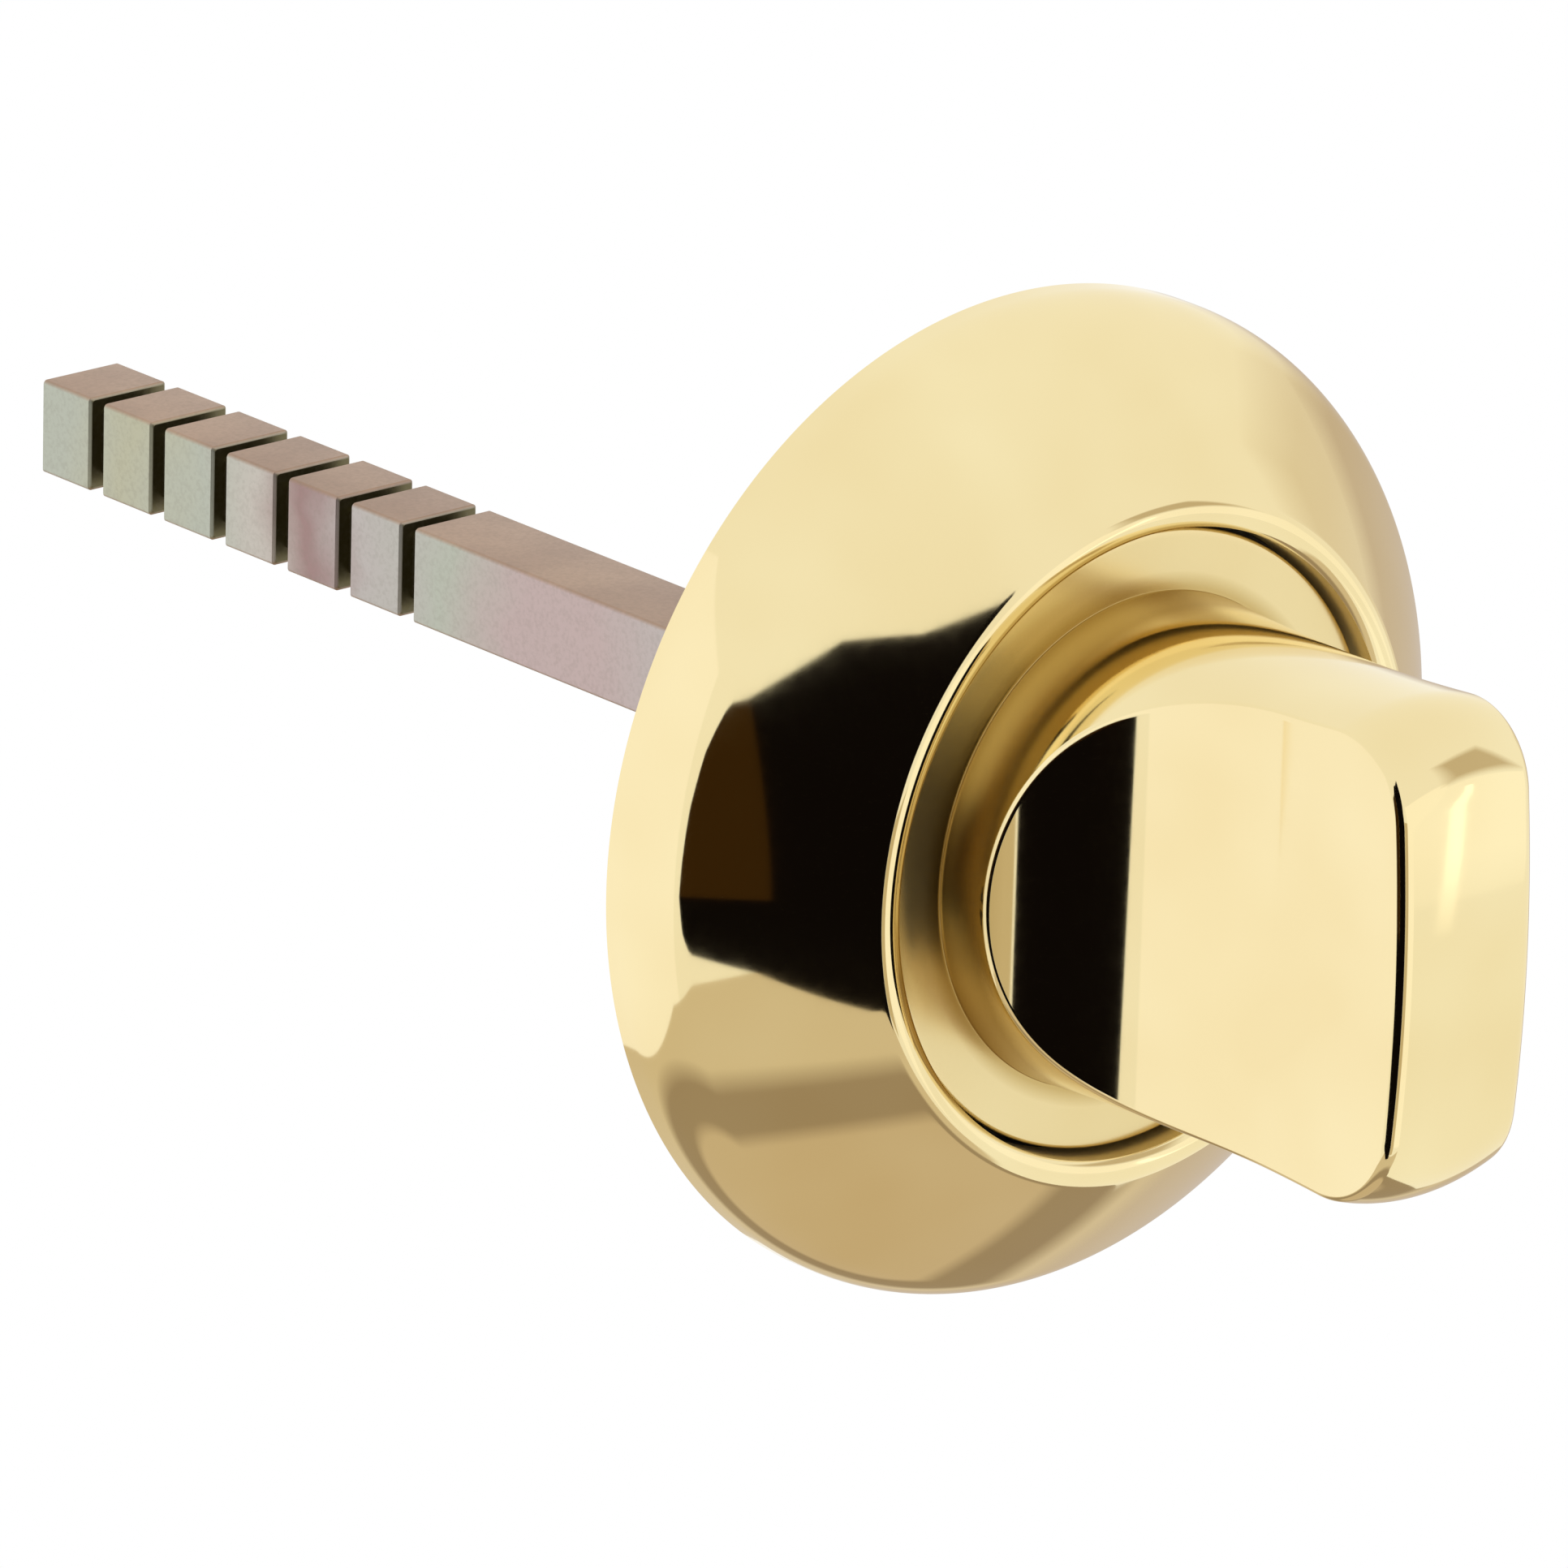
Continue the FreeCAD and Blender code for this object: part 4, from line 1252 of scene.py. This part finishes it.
@dataclass
class Viewpoint:
    """The photograph's camera: its bearing, tilt, roll, distance and aim."""

    azimuth_deg: float = -41.5
    elevation_deg: float = 19.4
    roll_deg: float = 1.6
    distance: float = 0.7
    aim_right: float = -0.0105
    aim_up: float = 0.00015
    focal_px: float = 17913.0
    frame_px: float = 1932.0
    sensor_mm: float = 36.0

    def build(self) -> None:
        """Makes the camera. Its axes are right, up and back, turned by the roll about the line of sight."""
        bearing = math.radians(self.azimuth_deg)
        tilt = math.radians(self.elevation_deg)
        roll = math.radians(self.roll_deg)
        level = math.cos(tilt)
        back = Vector((math.sin(bearing) * level, -math.cos(bearing) * level, math.sin(tilt)))
        right = Vector((math.cos(bearing), math.sin(bearing), 0.0))
        up = back.cross(right)
        rolled_right = right * math.cos(roll) + up * math.sin(roll)
        rolled_up = up * math.cos(roll) - right * math.sin(roll)
        place = rolled_right * self.aim_right + rolled_up * self.aim_up + back * self.distance
        lens = bpy.data.cameras.new("photo_camera")
        lens.sensor_width = self.sensor_mm
        lens.lens = self.focal_px / self.frame_px * self.sensor_mm
        camera = bpy.data.objects.new("photo_camera", lens)
        axes = Matrix((rolled_right, rolled_up, back)).transposed().to_4x4()
        camera.matrix_world = Matrix.Translation(place) @ axes
        bpy.context.scene.collection.objects.link(camera)
        bpy.context.scene.camera = camera


def main() -> None:
    """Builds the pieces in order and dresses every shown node."""
    logging.basicConfig(level=logging.INFO)
    brass = PolishedBrass().material()
    steel = PassivatedSteel().material()
    zinc = DullSurface(
        Slot.ZINC, light=(0.52, 0.53, 0.55), dark=(0.42, 0.43, 0.45), metallic=1.0, smooth=0.38, rough=0.55
    ).material()
    spring = DullSurface(
        Slot.SPRING, light=(0.36, 0.36, 0.37), dark=(0.25, 0.25, 0.26), metallic=1.0, smooth=0.25, rough=0.4
    ).material()
    nylon = DullSurface(
        Slot.NYLON, light=(0.80, 0.79, 0.74), dark=(0.74, 0.73, 0.68), metallic=0.0, smooth=0.4, rough=0.55
    ).material()
    made = [(RoseCover().build(), brass), (ThumbTurn().build(), brass), (Spindle().build(), steel)]
    plain = {
        "rose_base": zinc,
        "turn_bush": nylon,
        "thrust_washer": spring,
        "wave_washer": spring,
        "retaining_ring": spring,
        "spindle_pin": spring,
    }
    made += [(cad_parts[name], finish) for name, finish in plain.items()]
    for piece, finish in made:
        wear(piece, finish)
        log.info("%s: %d faces in %s", piece.name, len(piece.data.polygons), finish.name)
    Studio().build()
    Viewpoint().build()


if __name__ == "__main__":
    main()
